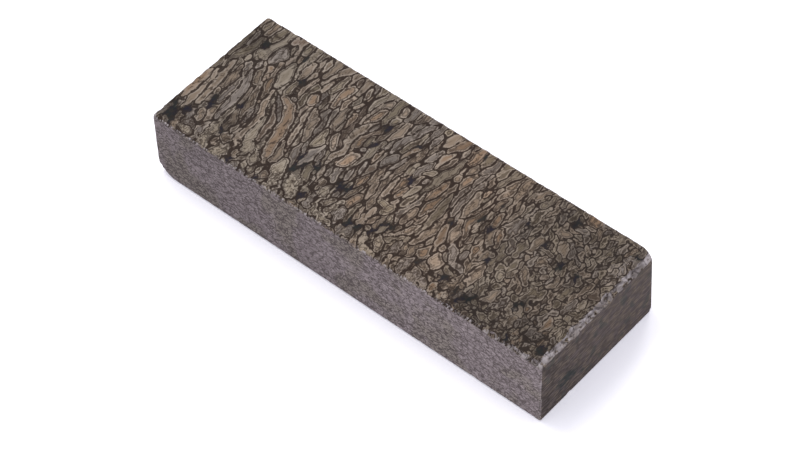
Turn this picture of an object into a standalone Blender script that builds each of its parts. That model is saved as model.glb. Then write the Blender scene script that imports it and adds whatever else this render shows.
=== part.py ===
"""Sawn block of fossil dinosaur bone, polished on top, lying on its underside.

Metres, +Z up. +X runs along the block to the end whose top edge is broken,
-Y is the sawn front face, and the origin is at the middle of the underside.
"""

import math
import random
from collections import namedtuple

import bmesh
import bpy
from mathutils import Vector

MM = 0.001

# Sawn size. The block is a little out of square, as hand-sawn blanks are:
# the front face leans back, and the back edge stands slightly higher.
LENGTH = 120.0 * MM
WIDTH = 41.9 * MM
FRONT_HEIGHT = 19.6 * MM
BACK_HEIGHT = 19.8 * MM
FRONT_LEAN = 0.9 * MM

# Radii worn on the four upright edges, seen from above.
UPRIGHT_RADII = {
    ("left", "front"): 0.7 * MM,
    ("left", "back"): 1.4 * MM,
    ("right", "back"): 2.0 * MM,
    ("right", "front"): 0.3 * MM,
}
UPRIGHT_SEGMENTS = 4

# Fine break on every edge, under the wear below.
ARRIS = 0.22 * MM
ARRIS_ANGLE = math.radians(35.0)

# Corners knocked off: the corner, and how far the break runs back along X, Y and Z.
BROKEN_CORNERS = (
    (("left", "front", "bottom"), (4.4 * MM, 2.6 * MM, 3.8 * MM)),
    (("left", "front", "bottom"), (2.4 * MM, 4.6 * MM, 1.8 * MM)),
    (("left", "front", "bottom"), (1.6 * MM, 1.6 * MM, 6.6 * MM)),
    (("left", "front", "bottom"), (7.2 * MM, 1.6 * MM, 1.5 * MM)),
    (("left", "front", "top"), (1.8 * MM, 1.1 * MM, 0.8 * MM)),
    (("right", "back", "bottom"), (2.0 * MM, 2.6 * MM, 1.7 * MM)),
    (("right", "front", "top"), (1.1 * MM, 1.1 * MM, 1.3 * MM)),
)

# Wear along an edge: its two corners, the width of the break on the two faces
# beside it at some shares of its length, how many chips and their least and
# greatest length, how far the borders wander, and the pitch of the wear. The
# widths come in the order of the two side names that both corners share.
Wear = namedtuple("Wear", "start end widths chips least greatest wander pitch")
WORN_EDGES = (
    # The top edge of the right end, broken back to a rough chamfer.
    Wear(("right", "front", "top"), ("right", "back", "top"),
         ((0.0, 0.7 * MM, 1.5 * MM), (0.08, 0.8 * MM, 1.6 * MM), (0.2, 0.6 * MM, 1.0 * MM),
          (0.32, 0.9 * MM, 1.7 * MM), (0.42, 0.6 * MM, 1.0 * MM), (0.55, 0.8 * MM, 1.2 * MM),
          (0.7, 0.6 * MM, 1.4 * MM), (0.85, 0.9 * MM, 1.1 * MM), (1.0, 0.8 * MM, 1.3 * MM)),
         17, 1.2 * MM, 3.2 * MM, 0.10 * MM, 0.62 * MM),
    # The top edge of the front, worn to a bevel towards the right end.
    Wear(("left", "front", "top"), ("right", "front", "top"),
         ((0.0, 0.3 * MM, 0.3 * MM), (0.7, 0.25 * MM, 0.22 * MM), (0.84, 0.5 * MM, 0.5 * MM),
          (1.0, 1.0 * MM, 0.95 * MM)),
         24, 0.8 * MM, 2.2 * MM, 0.05 * MM, 0.8 * MM),
    Wear(("left", "front", "bottom"), ("right", "front", "bottom"),
         ((0.0, 0.3 * MM, 0.3 * MM), (1.0, 0.3 * MM, 0.3 * MM)),
         26, 0.8 * MM, 2.2 * MM, 0.05 * MM, 0.9 * MM),
    Wear(("left", "back", "top"), ("right", "back", "top"),
         ((0.0, 0.22 * MM, 0.22 * MM), (1.0, 0.25 * MM, 0.25 * MM)),
         20, 0.8 * MM, 2.0 * MM, 0.04 * MM, 0.9 * MM),
    Wear(("left", "back", "bottom"), ("right", "back", "bottom"),
         ((0.0, 0.3 * MM, 0.3 * MM), (1.0, 0.3 * MM, 0.35 * MM)),
         24, 0.8 * MM, 2.6 * MM, 0.05 * MM, 0.9 * MM),
    Wear(("left", "front", "top"), ("left", "back", "top"),
         ((0.0, 0.3 * MM, 0.3 * MM), (1.0, 0.25 * MM, 0.25 * MM)),
         10, 0.8 * MM, 2.0 * MM, 0.05 * MM, 0.8 * MM),
    Wear(("left", "front", "bottom"), ("left", "back", "bottom"),
         ((0.0, 0.35 * MM, 0.35 * MM), (1.0, 0.35 * MM, 0.35 * MM)),
         8, 0.8 * MM, 2.4 * MM, 0.05 * MM, 0.9 * MM),
    Wear(("right", "front", "bottom"), ("right", "back", "bottom"),
         ((0.0, 0.3 * MM, 0.3 * MM), (1.0, 0.35 * MM, 0.35 * MM)),
         8, 0.8 * MM, 2.0 * MM, 0.05 * MM, 0.9 * MM),
    Wear(("left", "front", "bottom"), ("left", "front", "top"),
         ((0.0, 0.35 * MM, 0.35 * MM), (1.0, 0.35 * MM, 0.35 * MM)),
         5, 1.0 * MM, 2.0 * MM, 0.06 * MM, 0.8 * MM),
    Wear(("right", "front", "bottom"), ("right", "front", "top"),
         ((0.0, 0.25 * MM, 0.25 * MM), (1.0, 0.3 * MM, 0.3 * MM)),
         4, 0.8 * MM, 1.6 * MM, 0.05 * MM, 0.8 * MM),
)
WEAR_SEED = 11

# Width that a chip adds to the break, as a share of the chip's length.
CHIP_DEPTHS = (0.05, 0.19)

# How deep the middle of the break lies under the line between its borders, as a
# share of that line, and how fast this follows a new value along the edge.
HOLLOWS = (-0.1, 0.3)
HOLLOW_CHANGE = 0.6

# Where the ridge of the break may lie between its borders, and how far a point
# of a border may slip along the edge, as a share of the pitch.
RIDGE_PLACES = (0.35, 0.65)
BORDER_SLIP = 0.3

# How far the bars that cut the wear run past the ends and out of the faces.
OVERRUN = 2.0 * MM
CUTTER_REACH = 1.5 * MM

BONE_COLOUR = (0.150, 0.118, 0.098, 1.0)
BONE_ROUGHNESS = 0.45

SIDES = {"left": -1, "right": 1, "front": -1, "back": 1, "bottom": -1, "top": 1}
ACROSS = {
    "left": "right", "right": "left", "front": "back",
    "back": "front", "bottom": "top", "top": "bottom",
}


def clear_scene():
    """Remove everything that the scene starts with."""
    for item in list(bpy.data.objects):
        bpy.data.objects.remove(item, do_unlink=True)


def corner(across, deep, high):
    """Give the sharp corner of the sawn block that three side names pick out."""
    x = SIDES[across] * LENGTH / 2.0
    y = SIDES[deep] * WIDTH / 2.0
    if high == "bottom":
        return Vector((x, y, 0.0))
    if deep == "front":
        return Vector((x, y + FRONT_LEAN, FRONT_HEIGHT))
    return Vector((x, y, BACK_HEIGHT))


def sawn_block():
    """Make the six sawn faces."""
    bm = bmesh.new()
    bmesh.ops.create_cube(bm, size=2.0)
    for vert in bm.verts:
        across = ("left", "right")[vert.co.x > 0.0]
        deep = ("front", "back")[vert.co.y > 0.0]
        high = ("bottom", "top")[vert.co.z > 0.0]
        vert.co = corner(across, deep, high)
    return bm


def round_uprights(bm):
    """Wear each upright edge round by its own radius."""
    for (across, deep), radius in UPRIGHT_RADII.items():
        ends = (corner(across, deep, "bottom"), corner(across, deep, "top"))
        edge = next(
            item for item in bm.edges
            if all(min((vert.co - end).length for end in ends) < ARRIS for vert in item.verts)
        )
        bmesh.ops.bevel(
            bm, geom=[edge], offset=radius, offset_type="OFFSET",
            segments=UPRIGHT_SEGMENTS, profile=0.5, affect="EDGES",
        )


def plane_off(bm, a, b, c):
    """Cut the block with the plane through three points and close it there."""
    normal = (b - a).cross(c - a).normalized()
    if normal.dot(a) < 0.0:
        normal.negate()
    geometry = list(bm.verts) + list(bm.edges) + list(bm.faces)
    cut = bmesh.ops.bisect_plane(
        bm, geom=geometry, dist=1e-7, plane_co=a, plane_no=normal, clear_outer=True,
    )
    rim = [item for item in cut["geom_cut"] if isinstance(item, bmesh.types.BMEdge)]
    bmesh.ops.contextual_create(bm, geom=rim)


def knock_off_corners(bm):
    """Cut off the corners that are broken."""
    for names, (along, deep, high) in BROKEN_CORNERS:
        tip = corner(*names)
        plane_off(
            bm,
            tip - Vector((SIDES[names[0]] * along, 0.0, 0.0)),
            tip - Vector((0.0, SIDES[names[1]] * deep, 0.0)),
            tip - Vector((0.0, 0.0, SIDES[names[2]] * high)),
        )


def along_faces(start, end):
    """Give the directions that lead from an edge into the two faces beside it."""
    found = []
    for index, name in enumerate(start):
        if name == end[index]:
            beyond = list(start)
            beyond[index] = ACROSS[name]
            found.append((corner(*beyond) - corner(*start)).normalized())
    return found[1], found[0]


def plain_widths(wear, share):
    """Give the widths of the break on the two faces at a share of the edge, without chips."""
    share = min(max(share, 0.0), 1.0)
    for low, high in zip(wear.widths, wear.widths[1:]):
        if share <= high[0]:
            part = (share - low[0]) / (high[0] - low[0])
            return [a + (b - a) * part for a, b in zip(low[1:], high[1:])]
    return list(wear.widths[-1][1:])


def scattered_chips(wear, length, rng):
    """Scatter chips along an edge: place, half length and width on the two faces."""
    chips = []
    for number in range(wear.chips):
        place = length * (number + rng.random()) / wear.chips
        size = wear.least + (wear.greatest - wear.least) * rng.random() ** 2
        widths = [size * rng.uniform(*CHIP_DEPTHS) for _ in range(2)]
        chips.append((place, size / 2.0, widths))
    return chips


def worn_widths(wear, chips, place, length, rng):
    """Give the widths of the break on the two faces at one place along the edge."""
    widths = plain_widths(wear, place / length)
    for side in range(2):
        for middle, half, extra in chips:
            rest = 1.0 - ((place - middle) / half) ** 2
            if rest > 0.0:
                widths[side] += extra[side] * math.sqrt(rest)
        widths[side] += rng.uniform(-wear.wander, wear.wander)
    return widths


def add_wear(bm, wear, rng):
    """Add the ragged bar that takes one worn edge off the block."""
    start = corner(*wear.start)
    length = (corner(*wear.end) - start).length
    run = (corner(*wear.end) - start).normalized()
    faces = along_faces(wear.start, wear.end)
    inward = (faces[0] + faces[1]).normalized()
    chips = scattered_chips(wear, length, rng)
    slip = BORDER_SLIP * wear.pitch
    count = round((length + 2.0 * OVERRUN) / wear.pitch)
    hollow = sum(HOLLOWS) / 2.0
    rings = []
    for number in range(count + 1):
        place = (length + 2.0 * OVERRUN) * number / count - OVERRUN
        near, far = (
            start + run * (place + rng.uniform(-slip, slip)) + face * width
            for face, width in zip(faces, worn_widths(wear, chips, place, length, rng))
        )
        hollow += (rng.uniform(*HOLLOWS) - hollow) * HOLLOW_CHANGE
        ridge = near.lerp(far, rng.uniform(*RIDGE_PLACES))
        ridge += inward * (near - far).length * hollow
        points = (
            near + (near - ridge).normalized() * CUTTER_REACH,
            near,
            ridge,
            far,
            far + (far - ridge).normalized() * CUTTER_REACH,
            start + run * place - inward * 2.0 * CUTTER_REACH,
        )
        rings.append([bm.verts.new(point) for point in points])
    for here, there in zip(rings, rings[1:]):
        for side in range(len(here)):
            after = (side + 1) % len(here)
            bm.faces.new((here[side], here[after], there[after], there[side]))
    bm.faces.new(reversed(rings[0]))
    bm.faces.new(rings[-1])


def worn_away():
    """Make the ragged bars of all worn edges."""
    rng = random.Random(WEAR_SEED)
    bm = bmesh.new()
    for wear in WORN_EDGES:
        add_wear(bm, wear, rng)
    bmesh.ops.triangulate(bm, faces=bm.faces[:])
    return bm


def to_object(bm, name):
    """Turn a mesh under construction into an object of the scene."""
    bmesh.ops.recalc_face_normals(bm, faces=bm.faces[:])
    mesh = bpy.data.meshes.new(name)
    bm.to_mesh(mesh)
    bm.free()
    item = bpy.data.objects.new(name, mesh)
    bpy.context.collection.objects.link(item)
    return item


def bone_material():
    """Make the plain brown-grey of the bone."""
    material = bpy.data.materials.new("fossil_bone")
    material.use_nodes = True
    shader = material.node_tree.nodes["Principled BSDF"]
    shader.inputs["Base Color"].default_value = BONE_COLOUR
    shader.inputs["Roughness"].default_value = BONE_ROUGHNESS
    shader.inputs["Metallic"].default_value = 0.0
    return material


def build():
    """Build the block with its worn edges."""
    clear_scene()
    bm = sawn_block()
    round_uprights(bm)
    knock_off_corners(bm)
    block = to_object(bm, "bone_block")
    block.data.materials.append(bone_material())

    arris = block.modifiers.new("arris", "BEVEL")
    arris.width = ARRIS
    arris.segments = 1
    arris.limit_method = "ANGLE"
    arris.angle_limit = ARRIS_ANGLE

    cutters = to_object(worn_away(), "worn_away")
    cutters.hide_render = True
    cutters.display_type = "WIRE"
    wear = block.modifiers.new("wear", "BOOLEAN")
    wear.operation = "DIFFERENCE"
    wear.solver = "EXACT"
    wear.use_self = True
    wear.object = cutters


build()
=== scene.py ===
"""Looks of a sawn block of fossil dinosaur bone whose top is polished.

The block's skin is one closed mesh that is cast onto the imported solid. Its top
is cut along the borders of the bone's cells, so that each cell's fill, pale rim
and dark outline lie where the cell lies. The pattern is laid out in
millimetres, and meshes are in metres in the frame's own axes: +X runs along the
block, -Y is the sawn front, and the underside lies at z = 0.
"""

import logging
import math
from dataclasses import dataclass, field
from enum import Enum
from functools import reduce

import bpy
import numpy as np
from mathutils import Matrix, Vector
from mathutils.bvhtree import BVHTree


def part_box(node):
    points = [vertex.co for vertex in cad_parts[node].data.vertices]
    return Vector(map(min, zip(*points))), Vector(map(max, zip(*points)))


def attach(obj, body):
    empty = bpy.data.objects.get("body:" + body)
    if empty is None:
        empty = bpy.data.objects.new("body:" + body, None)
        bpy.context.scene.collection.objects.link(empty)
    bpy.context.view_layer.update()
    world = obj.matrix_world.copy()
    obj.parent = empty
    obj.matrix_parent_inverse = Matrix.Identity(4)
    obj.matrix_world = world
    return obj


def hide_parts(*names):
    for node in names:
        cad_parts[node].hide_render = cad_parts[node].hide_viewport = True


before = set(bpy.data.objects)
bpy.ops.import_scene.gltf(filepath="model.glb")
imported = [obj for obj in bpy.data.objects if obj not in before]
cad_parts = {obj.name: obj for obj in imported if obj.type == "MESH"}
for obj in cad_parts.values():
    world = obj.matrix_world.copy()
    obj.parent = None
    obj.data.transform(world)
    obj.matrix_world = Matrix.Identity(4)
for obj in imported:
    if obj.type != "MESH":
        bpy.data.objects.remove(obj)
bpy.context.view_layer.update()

log = logging.getLogger("bone_block")

MM = 0.001
NODE = "bone_block"
BODY = "root"

Colour = tuple[float, float, float]
Pair = tuple[float, float]
Knots = tuple[Pair, ...]
Socket = bpy.types.NodeSocket
EVEN: Colour = (1.0, 1.0, 1.0)


class Tone(Enum):
    """What a bone cell is filled with."""

    TAN = "tan"
    ORANGE = "orange"
    GREY = "grey"
    OLIVE = "olive"
    CREAM = "cream"
    BROWN = "brown"
    PALE = "pale"


@dataclass(frozen=True)
class Tint:
    """Colours of one tone: the fill, the core, how fully it shows, and how often it is ringed."""

    fill: Colour
    core: Colour
    core_share: float
    ring_odds: float


TINTS: dict[Tone, Tint] = {
    Tone.TAN: Tint((0.250, 0.195, 0.146), (0.190, 0.142, 0.099), 0.9, 0.82),
    Tone.ORANGE: Tint((0.244, 0.181, 0.130), (0.178, 0.119, 0.075), 1.0, 0.72),
    Tone.GREY: Tint((0.234, 0.196, 0.163), (0.144, 0.119, 0.099), 0.9, 0.93),
    Tone.OLIVE: Tint((0.242, 0.197, 0.144), (0.136, 0.107, 0.072), 1.0, 0.93),
    Tone.CREAM: Tint((0.260, 0.215, 0.162), (0.188, 0.151, 0.108), 0.9, 0.78),
    Tone.BROWN: Tint((0.194, 0.148, 0.113), (0.108, 0.075, 0.053), 1.0, 0.85),
    Tone.PALE: Tint((0.236, 0.206, 0.189), (0.188, 0.163, 0.145), 0.8, 0.50),
}

# Cells that stand out on the top: half width, then x and y of each point of the
# spine, in millimetres from the middle of the top.
PLACED_CELLS: dict[Tone, tuple[tuple[float, ...], ...]] = {
    Tone.TAN: (
        (0.8, -56.4, 4.5, -55.1, -2.0, -54.1, -10.2), (0.9, -53.5, 4.0, -52.6, -2.2),
        (1.2, -40.2, 15.3, -40.0, 11.5), (0.8, -37.7, 19.7, -37.0, 15.5),
        (0.9, -35.0, 19.7, -35.5, 14.8), (0.7, -36.3, 13.0, -36.1, 6.5),
        (0.8, -32.2, 14.2, -32.9, 10.6), (0.8, -25.3, 13.5, -25.5, 10.0),
        (0.75, -42.0, 3.5, -41.5, -0.8, -39.5, -3.3, -39.0, -13.2),
        (0.65, -31.2, 5.0, -30.5, 1.5, -29.0, -3.2, -27.2, -8.3),
        (0.5, -32.7, 4.5, -32.0, 1.8), (0.5, -21.8, 14.3, -23.0, 11.9),
        (0.8, -23.7, 18.7, -23.0, 15.5), (1.1, -20.5, 2.2, -19.0, -0.5),
        (1.2, -17.0, 18.0, -17.3, 16.4), (0.9, -12.8, 18.8, -12.6, 16.9),
        (1.2, -9.2, 15.0, -9.8, 9.8), (0.8, -0.6, 1.0, -0.2, -3.0, -0.5, -5.8),
        (1.0, -3.2, -3.0, -2.7, -7.0), (1.2, 8.8, -3.5, 8.8, -7.5),
        (0.7, 11.8, -3.5, 11.6, -6.0), (1.1, 12.8, -6.5, 10.5, -10.8),
        (1.1, 16.3, -2.5, 15.8, -7.0, 14.5, -11.0), (1.5, 19.5, 0.0, 20.5, -3.0, 21.5, -5.5),
        (0.8, -1.2, -10.5, -0.5, -14.5), (0.8, -13.7, -9.8, -13.8, -13.0),
        (1.1, 22.3, 18.0, 21.6, 15.5), (0.7, 20.8, 11.0, 20.3, 4.5),
        (0.9, 23.2, 11.5, 23.2, 8.5), (0.6, 27.0, 14.0, 27.8, 7.5),
        (0.7, 27.3, 17.4, 27.5, 15.0), (1.0, 24.4, -0.2, 24.0, -3.0),
        (1.0, 37.2, 8.5, 37.3, 3.5), (1.7, 22.0, -11.0, 22.8, -13.0),
        (0.9, 21.2, -7.7, 21.4, -8.0), (1.1, 39.0, -10.0, 38.0, -13.0),
        (1.2, 31.7, -7.0, 32.0, -12.0), (1.0, 30.0, -12.0, 28.5, -16.5),
        (0.7, 46.0, -13.0, 47.0, -15.5), (0.7, 43.0, 12.5, 45.5, 12.3),
        (1.0, 40.0, 13.0, 41.0, 12.7), (0.7, 13.0, -17.0, 14.0, -20.0),
        (0.7, -1.3, 12.5, -0.6, 9.0), (0.9, 11.7, 15.0, 11.0, 12.5),
        (0.8, 54.5, 4.5, 54.0, 1.5), (0.8, 17.4, 15.0, 17.6, 13.3),
        (0.7, 3.3, -11.0, 2.6, -13.0), (0.9, 13.5, -12.0, 14.5, -15.0),
        (1.1, 40.0, -1.0, 42.0, -4.0),
    ),
    Tone.ORANGE: (
        (1.3, -58.75, -1.75, -58.5, -10.0), (0.8, -47.8, 8.7, -47.3, 8.6),
        (1.2, -32.9, 8.9, -32.6, 7.0), (1.3, -27.6, 15.5, -27.7, 9.8),
        (1.2, -38.2, 3.2, -35.0, 2.2, -32.8, -2.0, -31.5, -8.0, -29.4, -13.4),
        (0.8, -21.6, 10.0, -20.8, 6.0), (1.2, -16.7, 15.0, -17.8, 10.3),
        (0.7, -9.0, 5.5, -8.4, 1.7), (1.5, -13.2, 0.8, -14.3, -3.0),
        (1.0, -6.7, -2.8, -7.1, -6.5), (1.1, 4.8, 15.0, 4.3, 10.2),
        (1.1, 9.7, 7.5, 8.8, 1.3), (1.4, 10.0, 20.0, 9.8, 15.7),
        (1.1, 12.8, 12.3, 12.5, 8.7), (1.1, 18.7, -9.5, 18.2, -12.5),
        (0.7, 19.0, 11.5, 18.8, 9.5), (1.1, 28.5, 4.3, 30.0, 0.5),
        (1.0, 27.0, -1.0, 28.5, -6.0), (0.9, 28.7, -17.5, 29.5, -18.5),
        (1.1, -4.0, -8.5, -4.2, -11.5), (1.0, 53.3, -9.0, 53.8, -11.5),
        (0.7, 42.0, 18.6, 44.5, 18.5), (0.5, 55.6, 18.5, 55.4, 16.5),
        (1.0, 47.5, -9.0, 47.6, -9.6), (0.9, 2.9, -0.2, 2.5, -3.2),
    ),
    Tone.GREY: (
        (1.0, -50.5, 5.0, -48.4, -1.0, -47.6, -10.7), (1.6, -48.8, 15.5, -49.0, 11.6),
        (0.7, -50.8, 8.5, -50.7, 7.0), (0.5, -36.4, 4.9, -36.4, 4.6),
        (0.4, -58.2, 16.5, -57.6, 11.0), (0.6, -41.8, -4.5, -41.5, -7.0),
        (0.7, -19.8, -3.2, -19.3, -6.2), (0.7, -15.0, 10.8, -15.3, 9.3),
        (0.7, -13.0, 2.8, -13.4, 1.8), (0.7, -15.0, -5.5, -14.7, -8.0),
        (0.8, -12.7, -5.5, -12.4, -8.0), (0.7, -10.8, -2.5, -10.2, -6.0),
        (0.6, -10.0, 0.2, -8.6, -3.2), (0.9, -3.6, 19.0, -5.8, 15.5),
        (0.5, -2.6, 8.5, -4.0, 2.5), (1.0, -0.8, 17.2, -0.7, 13.8),
        (1.0, 2.2, 13.5, 1.3, 10.0), (0.6, 7.3, 19.0, 7.0, 14.0),
        (1.0, 15.6, 9.0, 16.3, 1.3), (0.6, 15.3, 14.5, 14.6, 11.0),
        (0.7, -8.7, -10.8, -9.0, -11.5), (1.4, -4.8, -14.0, -4.0, -16.5),
        (1.2, 17.5, -15.0, 17.0, -18.5), (1.4, 22.5, -6.2, 25.5, -9.0, 28.0, -10.5),
        (1.0, 26.2, -6.0, 26.0, -9.0), (0.9, 42.0, -10.0, 41.5, -13.5),
        (1.2, 20.5, -17.0, 24.0, -18.0), (0.8, 42.0, 15.5, 44.0, 16.0),
        (0.6, 52.8, 8.5, 53.0, 7.0), (0.9, 54.5, -1.0, 54.2, -5.0),
        (0.6, 51.5, -8.5, 51.8, -11.0), (1.1, 51.8, -13.0, 52.5, -15.0),
        (0.6, 48.6, -11.5, 48.8, -14.0), (0.9, 53.6, 18.7, 54.0, 17.0),
        (0.4, 30.9, 14.0, 29.8, 9.0), (0.9, 5.0, 4.7, 4.9, 3.9),
        (0.5, -16.4, -10.6, -15.8, -12.5),
    ),
    Tone.OLIVE: (
        (1.0, -39.6, 8.3, -39.4, 6.2), (1.1, -30.6, 17.0, -31.0, 12.4),
        (0.6, -30.1, 9.2, -29.7, 6.8), (0.9, -57.7, 19.5, -57.8, 17.4),
        (1.0, -53.2, 19.5, -53.6, 16.0), (1.2, -44.5, 20.0, -44.5, 18.2),
        (1.3, -23.5, 1.6, -23.0, -2.5), (0.9, -12.6, 15.3, -12.7, 13.8),
        (0.7, -13.3, 7.3, -13.4, 5.0), (0.8, -3.8, 16.2, -4.8, 11.0, -5.0, 8.5),
        (0.9, -0.6, 20.0, -0.4, 18.7), (0.9, 0.4, 7.3, -0.1, 3.2),
        (0.8, 6.2, 0.2, 5.8, -3.6), (1.0, 18.5, 19.0, 18.0, 16.2),
        (1.2, 1.0, -6.3, 4.0, -6.6, 3.4, -8.0), (0.6, 10.8, -13.5, 10.7, -16.0),
        (0.6, 20.5, 14.0, 20.4, 12.2), (0.6, 24.0, 4.0, 24.3, 1.2),
        (1.0, 35.0, 5.0, 35.4, 1.0), (0.6, 34.3, 11.0, 34.6, 8.0),
        (1.0, 33.3, -1.5, 33.4, -6.0), (1.0, 37.0, 0.5, 36.8, -3.4),
        (0.8, 35.5, -8.8, 36.0, -13.0), (0.8, 38.5, -7.5, 37.5, -9.5),
        (1.1, 51.5, 15.5, 51.7, 13.5), (0.7, 49.5, 13.5, 49.6, 11.7),
        (0.9, 51.5, 1.0, 51.3, -2.5), (1.1, 55.5, -5.5, 56.5, -6.5),
        (0.8, 45.3, -4.0, 44.3, -7.5), (0.8, 41.5, -15.0, 42.5, -16.0),
        (0.5, 39.0, 11.0, 40.0, 9.5, 41.7, 7.5), (0.6, 42.0, -0.3, 42.0, -0.5),
        (0.7, 47.7, -16.5, 47.8, -18.5),
    ),
    Tone.CREAM: (
        (1.2, -52.8, 11.3, -52.9, 9.7), (0.6, -54.6, 8.0, -54.6, 7.4),
        (1.6, -43.9, 12.0, -42.9, 6.4), (1.7, -25.1, -12.0, -24.6, -15.0),
        (1.1, -51.5, -18.0, -50.0, -18.4), (0.9, -45.2, -17.5, -44.0, -18.5),
        (1.1, -39.0, -16.5, -38.5, -19.3), (1.0, -35.7, -13.0, -35.0, -15.0),
        (0.8, -29.3, -17.0, -29.3, -18.3), (0.8, -32.5, -17.0, -32.2, -18.2),
        (0.8, 5.3, 8.2, 3.2, 6.2), (0.9, 5.5, -7.3, 6.0, -10.0),
        (1.2, -11.5, -11.0, -11.8, -13.5), (0.9, -9.3, -15.0, -8.0, -13.0),
        (1.2, -8.0, -18.0, -5.0, -18.8), (1.8, -19.5, -14.5, -18.0, -17.3),
        (1.2, 8.0, -15.0, 9.5, -17.3), (0.9, 4.5, -16.0, 5.5, -18.3),
        (0.4, 8.3, -11.5, 8.35, -11.5), (1.2, 36.2, -6.0, 36.8, -6.6),
        (0.7, 49.0, 9.5, 49.7, 8.8),
        (1.0, 39.5, -17.0, 41.5, -18.0),
    ),
    Tone.BROWN: (
        (0.7, -38.5, 0.2, -35.8, -4.5, -34.5, -10.2), (0.5, -41.5, -9.0, -41.2, -12.0),
        (1.0, -48.8, 19.2, -48.6, 17.6), (0.8, -27.3, 18.8, -27.2, 17.4),
    ),
    Tone.PALE: (
        (0.8, 56.6, 13.0, 57.4, 11.9), (0.8, 58.4, 11.0, 58.6, 10.4),
    ),
}

# Dark pools where cells meet: x, y and radius, in millimetres.
DARK_POOLS: tuple[tuple[float, float, float], ...] = (
    (-57.3, -16.0, 1.90), (-58.6, -13.6, 0.70), (-55.6, -18.2, 0.65), (-51.9, -7.0, 0.79),
    (-51.0, -9.0, 0.58), (-53.8, 13.4, 0.79), (-43.0, 16.0, 0.58), (-38.6, 10.0, 0.58),
    (-22.0, -11.2, 0.79), (-22.8, -7.5, 0.65), (-20.6, -9.0, 0.65), (-11.6, 5.6, 0.72),
    (-12.6, 11.6, 0.79), (-17.7, -7.8, 0.72), (2.0, 2.3, 0.72), (-9.5, -8.8, 0.79),
    (-7.8, -8.6, 0.58), (-0.8, -16.0, 0.79), (1.5, -15.6, 0.65), (6.2, -11.2, 0.79),
    (8.0, -10.6, 0.58), (19.5, -14.3, 0.65), (22.4, 4.0, 0.72), (26.0, 3.0, 0.72),
    (31.2, -4.0, 0.72), (32.0, 9.6, 0.58), (35.0, -15.6, 1.08), (33.6, -17.2, 0.65),
    (40.3, 16.8, 0.58), (45.4, 4.4, 0.79), (45.5, -8.6, 0.72), (44.6, -10.6, 0.50),
    (50.4, 4.3, 0.72), (57.0, -16.4, 0.72), (57.6, 17.0, 0.50), (-54.6, -13.6, 0.58),
    (-43.5, -13.0, 0.58), (-45.2, -4.6, 0.58), (-36.0, -19.0, 0.58), (-15.0, -16.6, 0.58),
    (-26.8, -19.2, 0.58), (11.4, 18.9, 0.43), (-3.0, 11.8, 0.43), (26.5, -14.2, 0.65),
    (38.5, 7.0, 0.65), (48.5, -18.6, 0.50), (24.0, 10.0, 0.40), (5.0, -13.8, 0.50),
    (17.8, -1.0, 0.43), (31.5, -16.0, 0.58),
)

# Murky parts of the top, and clear ones below 0: x, y, radius in millimetres and strength.
MURKY_PLACES: tuple[tuple[float, float, float, float], ...] = (
    (-57.0, 13.0, 5.0, 0.65), (-58.5, 5.0, 2.5, 0.35), (-46.0, 14.5, 4.0, 0.35),
    (-45.2, -3.0, 2.4, 0.50), (-44.5, -10.5, 3.6, 0.60), (-51.8, -6.0, 1.9, 0.60),
    (-57.0, -15.5, 3.2, 0.60), (-38.5, 10.5, 2.2, 0.35), (-26.5, 7.0, 3.0, 0.35),
    (-18.0, 5.5, 3.0, 0.25), (-12.5, 12.0, 2.4, 0.30), (-20.0, -9.0, 3.2, 0.45),
    (-9.0, -8.3, 2.5, 0.45), (-3.8, -2.6, 2.0, 0.25), (-15.0, -16.0, 2.6, 0.40),
    (12.6, 3.0, 2.6, 0.35), (24.0, 4.8, 3.4, 0.40), (31.5, -1.5, 2.4, 0.40),
    (19.0, -5.5, 2.2, 0.35), (1.5, -16.0, 3.2, 0.50), (7.0, -11.5, 2.6, 0.35),
    (35.3, -16.0, 3.0, 0.60), (38.0, 17.0, 4.5, 0.45), (47.0, 13.0, 6.0, 0.28),
    (45.0, 7.0, 5.0, 0.25), (53.5, 15.0, 4.5, 0.40), (33.0, 11.0, 4.5, 0.35),
    (45.5, -9.0, 2.8, 0.40), (52.5, -14.0, 6.0, 0.50), (51.0, 2.0, 5.0, 0.30),
    (41.0, -17.0, 5.0, 0.35), (-28.0, 13.0, 3.2, -0.30), (-22.5, -0.3, 3.0, -0.30),
    (-14.5, -1.8, 3.0, -0.25), (5.0, -6.0, 4.5, -0.30), (13.5, -6.5, 4.0, -0.30),
    (23.0, -9.0, 3.6, -0.25), (-24.5, -13.5, 3.6, -0.35), (-8.0, -14.0, 3.6, -0.25),
    (-32.0, -6.0, 3.4, -0.25), (-50.5, -18.5, 2.4, -0.30), (57.0, 9.0, 3.0, -0.35),
    (-54.5, -6.0, 2.4, -0.20), (9.0, 14.0, 5.0, -0.15), (29.0, -6.0, 3.0, -0.20),
)


def smooth_step(low: float, high: float, value: np.ndarray) -> np.ndarray:
    """Rise smoothly from 0 to 1.

    Args:
        low: where the rise starts.
        high: where it ends.
        value: the values to map.

    Returns:
        The mapped values.
    """
    part = np.clip((value - low) / (high - low), 0.0, 1.0)
    return part * part * (3.0 - 2.0 * part)


def bar_distance(x: np.ndarray, y: np.ndarray, a: np.ndarray, b: np.ndarray) -> np.ndarray:
    """Measure the distance to a bar with round ends whose radius changes along it.

    Args:
        x: points' x.
        y: points' y.
        a: first end as x, y and radius, one for all points or one for each.
        b: second end, likewise.

    Returns:
        The distances, negative inside the bar.
    """
    ax, ay, ar = np.moveaxis(np.asarray(a, float), -1, 0)
    bx, by, br = np.moveaxis(np.asarray(b, float), -1, 0)
    dx, dy = bx - ax, by - ay
    along = ((x - ax) * dx + (y - ay) * dy) / np.maximum(dx * dx + dy * dy, 1e-9)
    along = np.clip(along, 0.0, 1.0)
    return np.hypot(x - ax - along * dx, y - ay - along * dy) - (ar + along * (br - ar))


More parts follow.
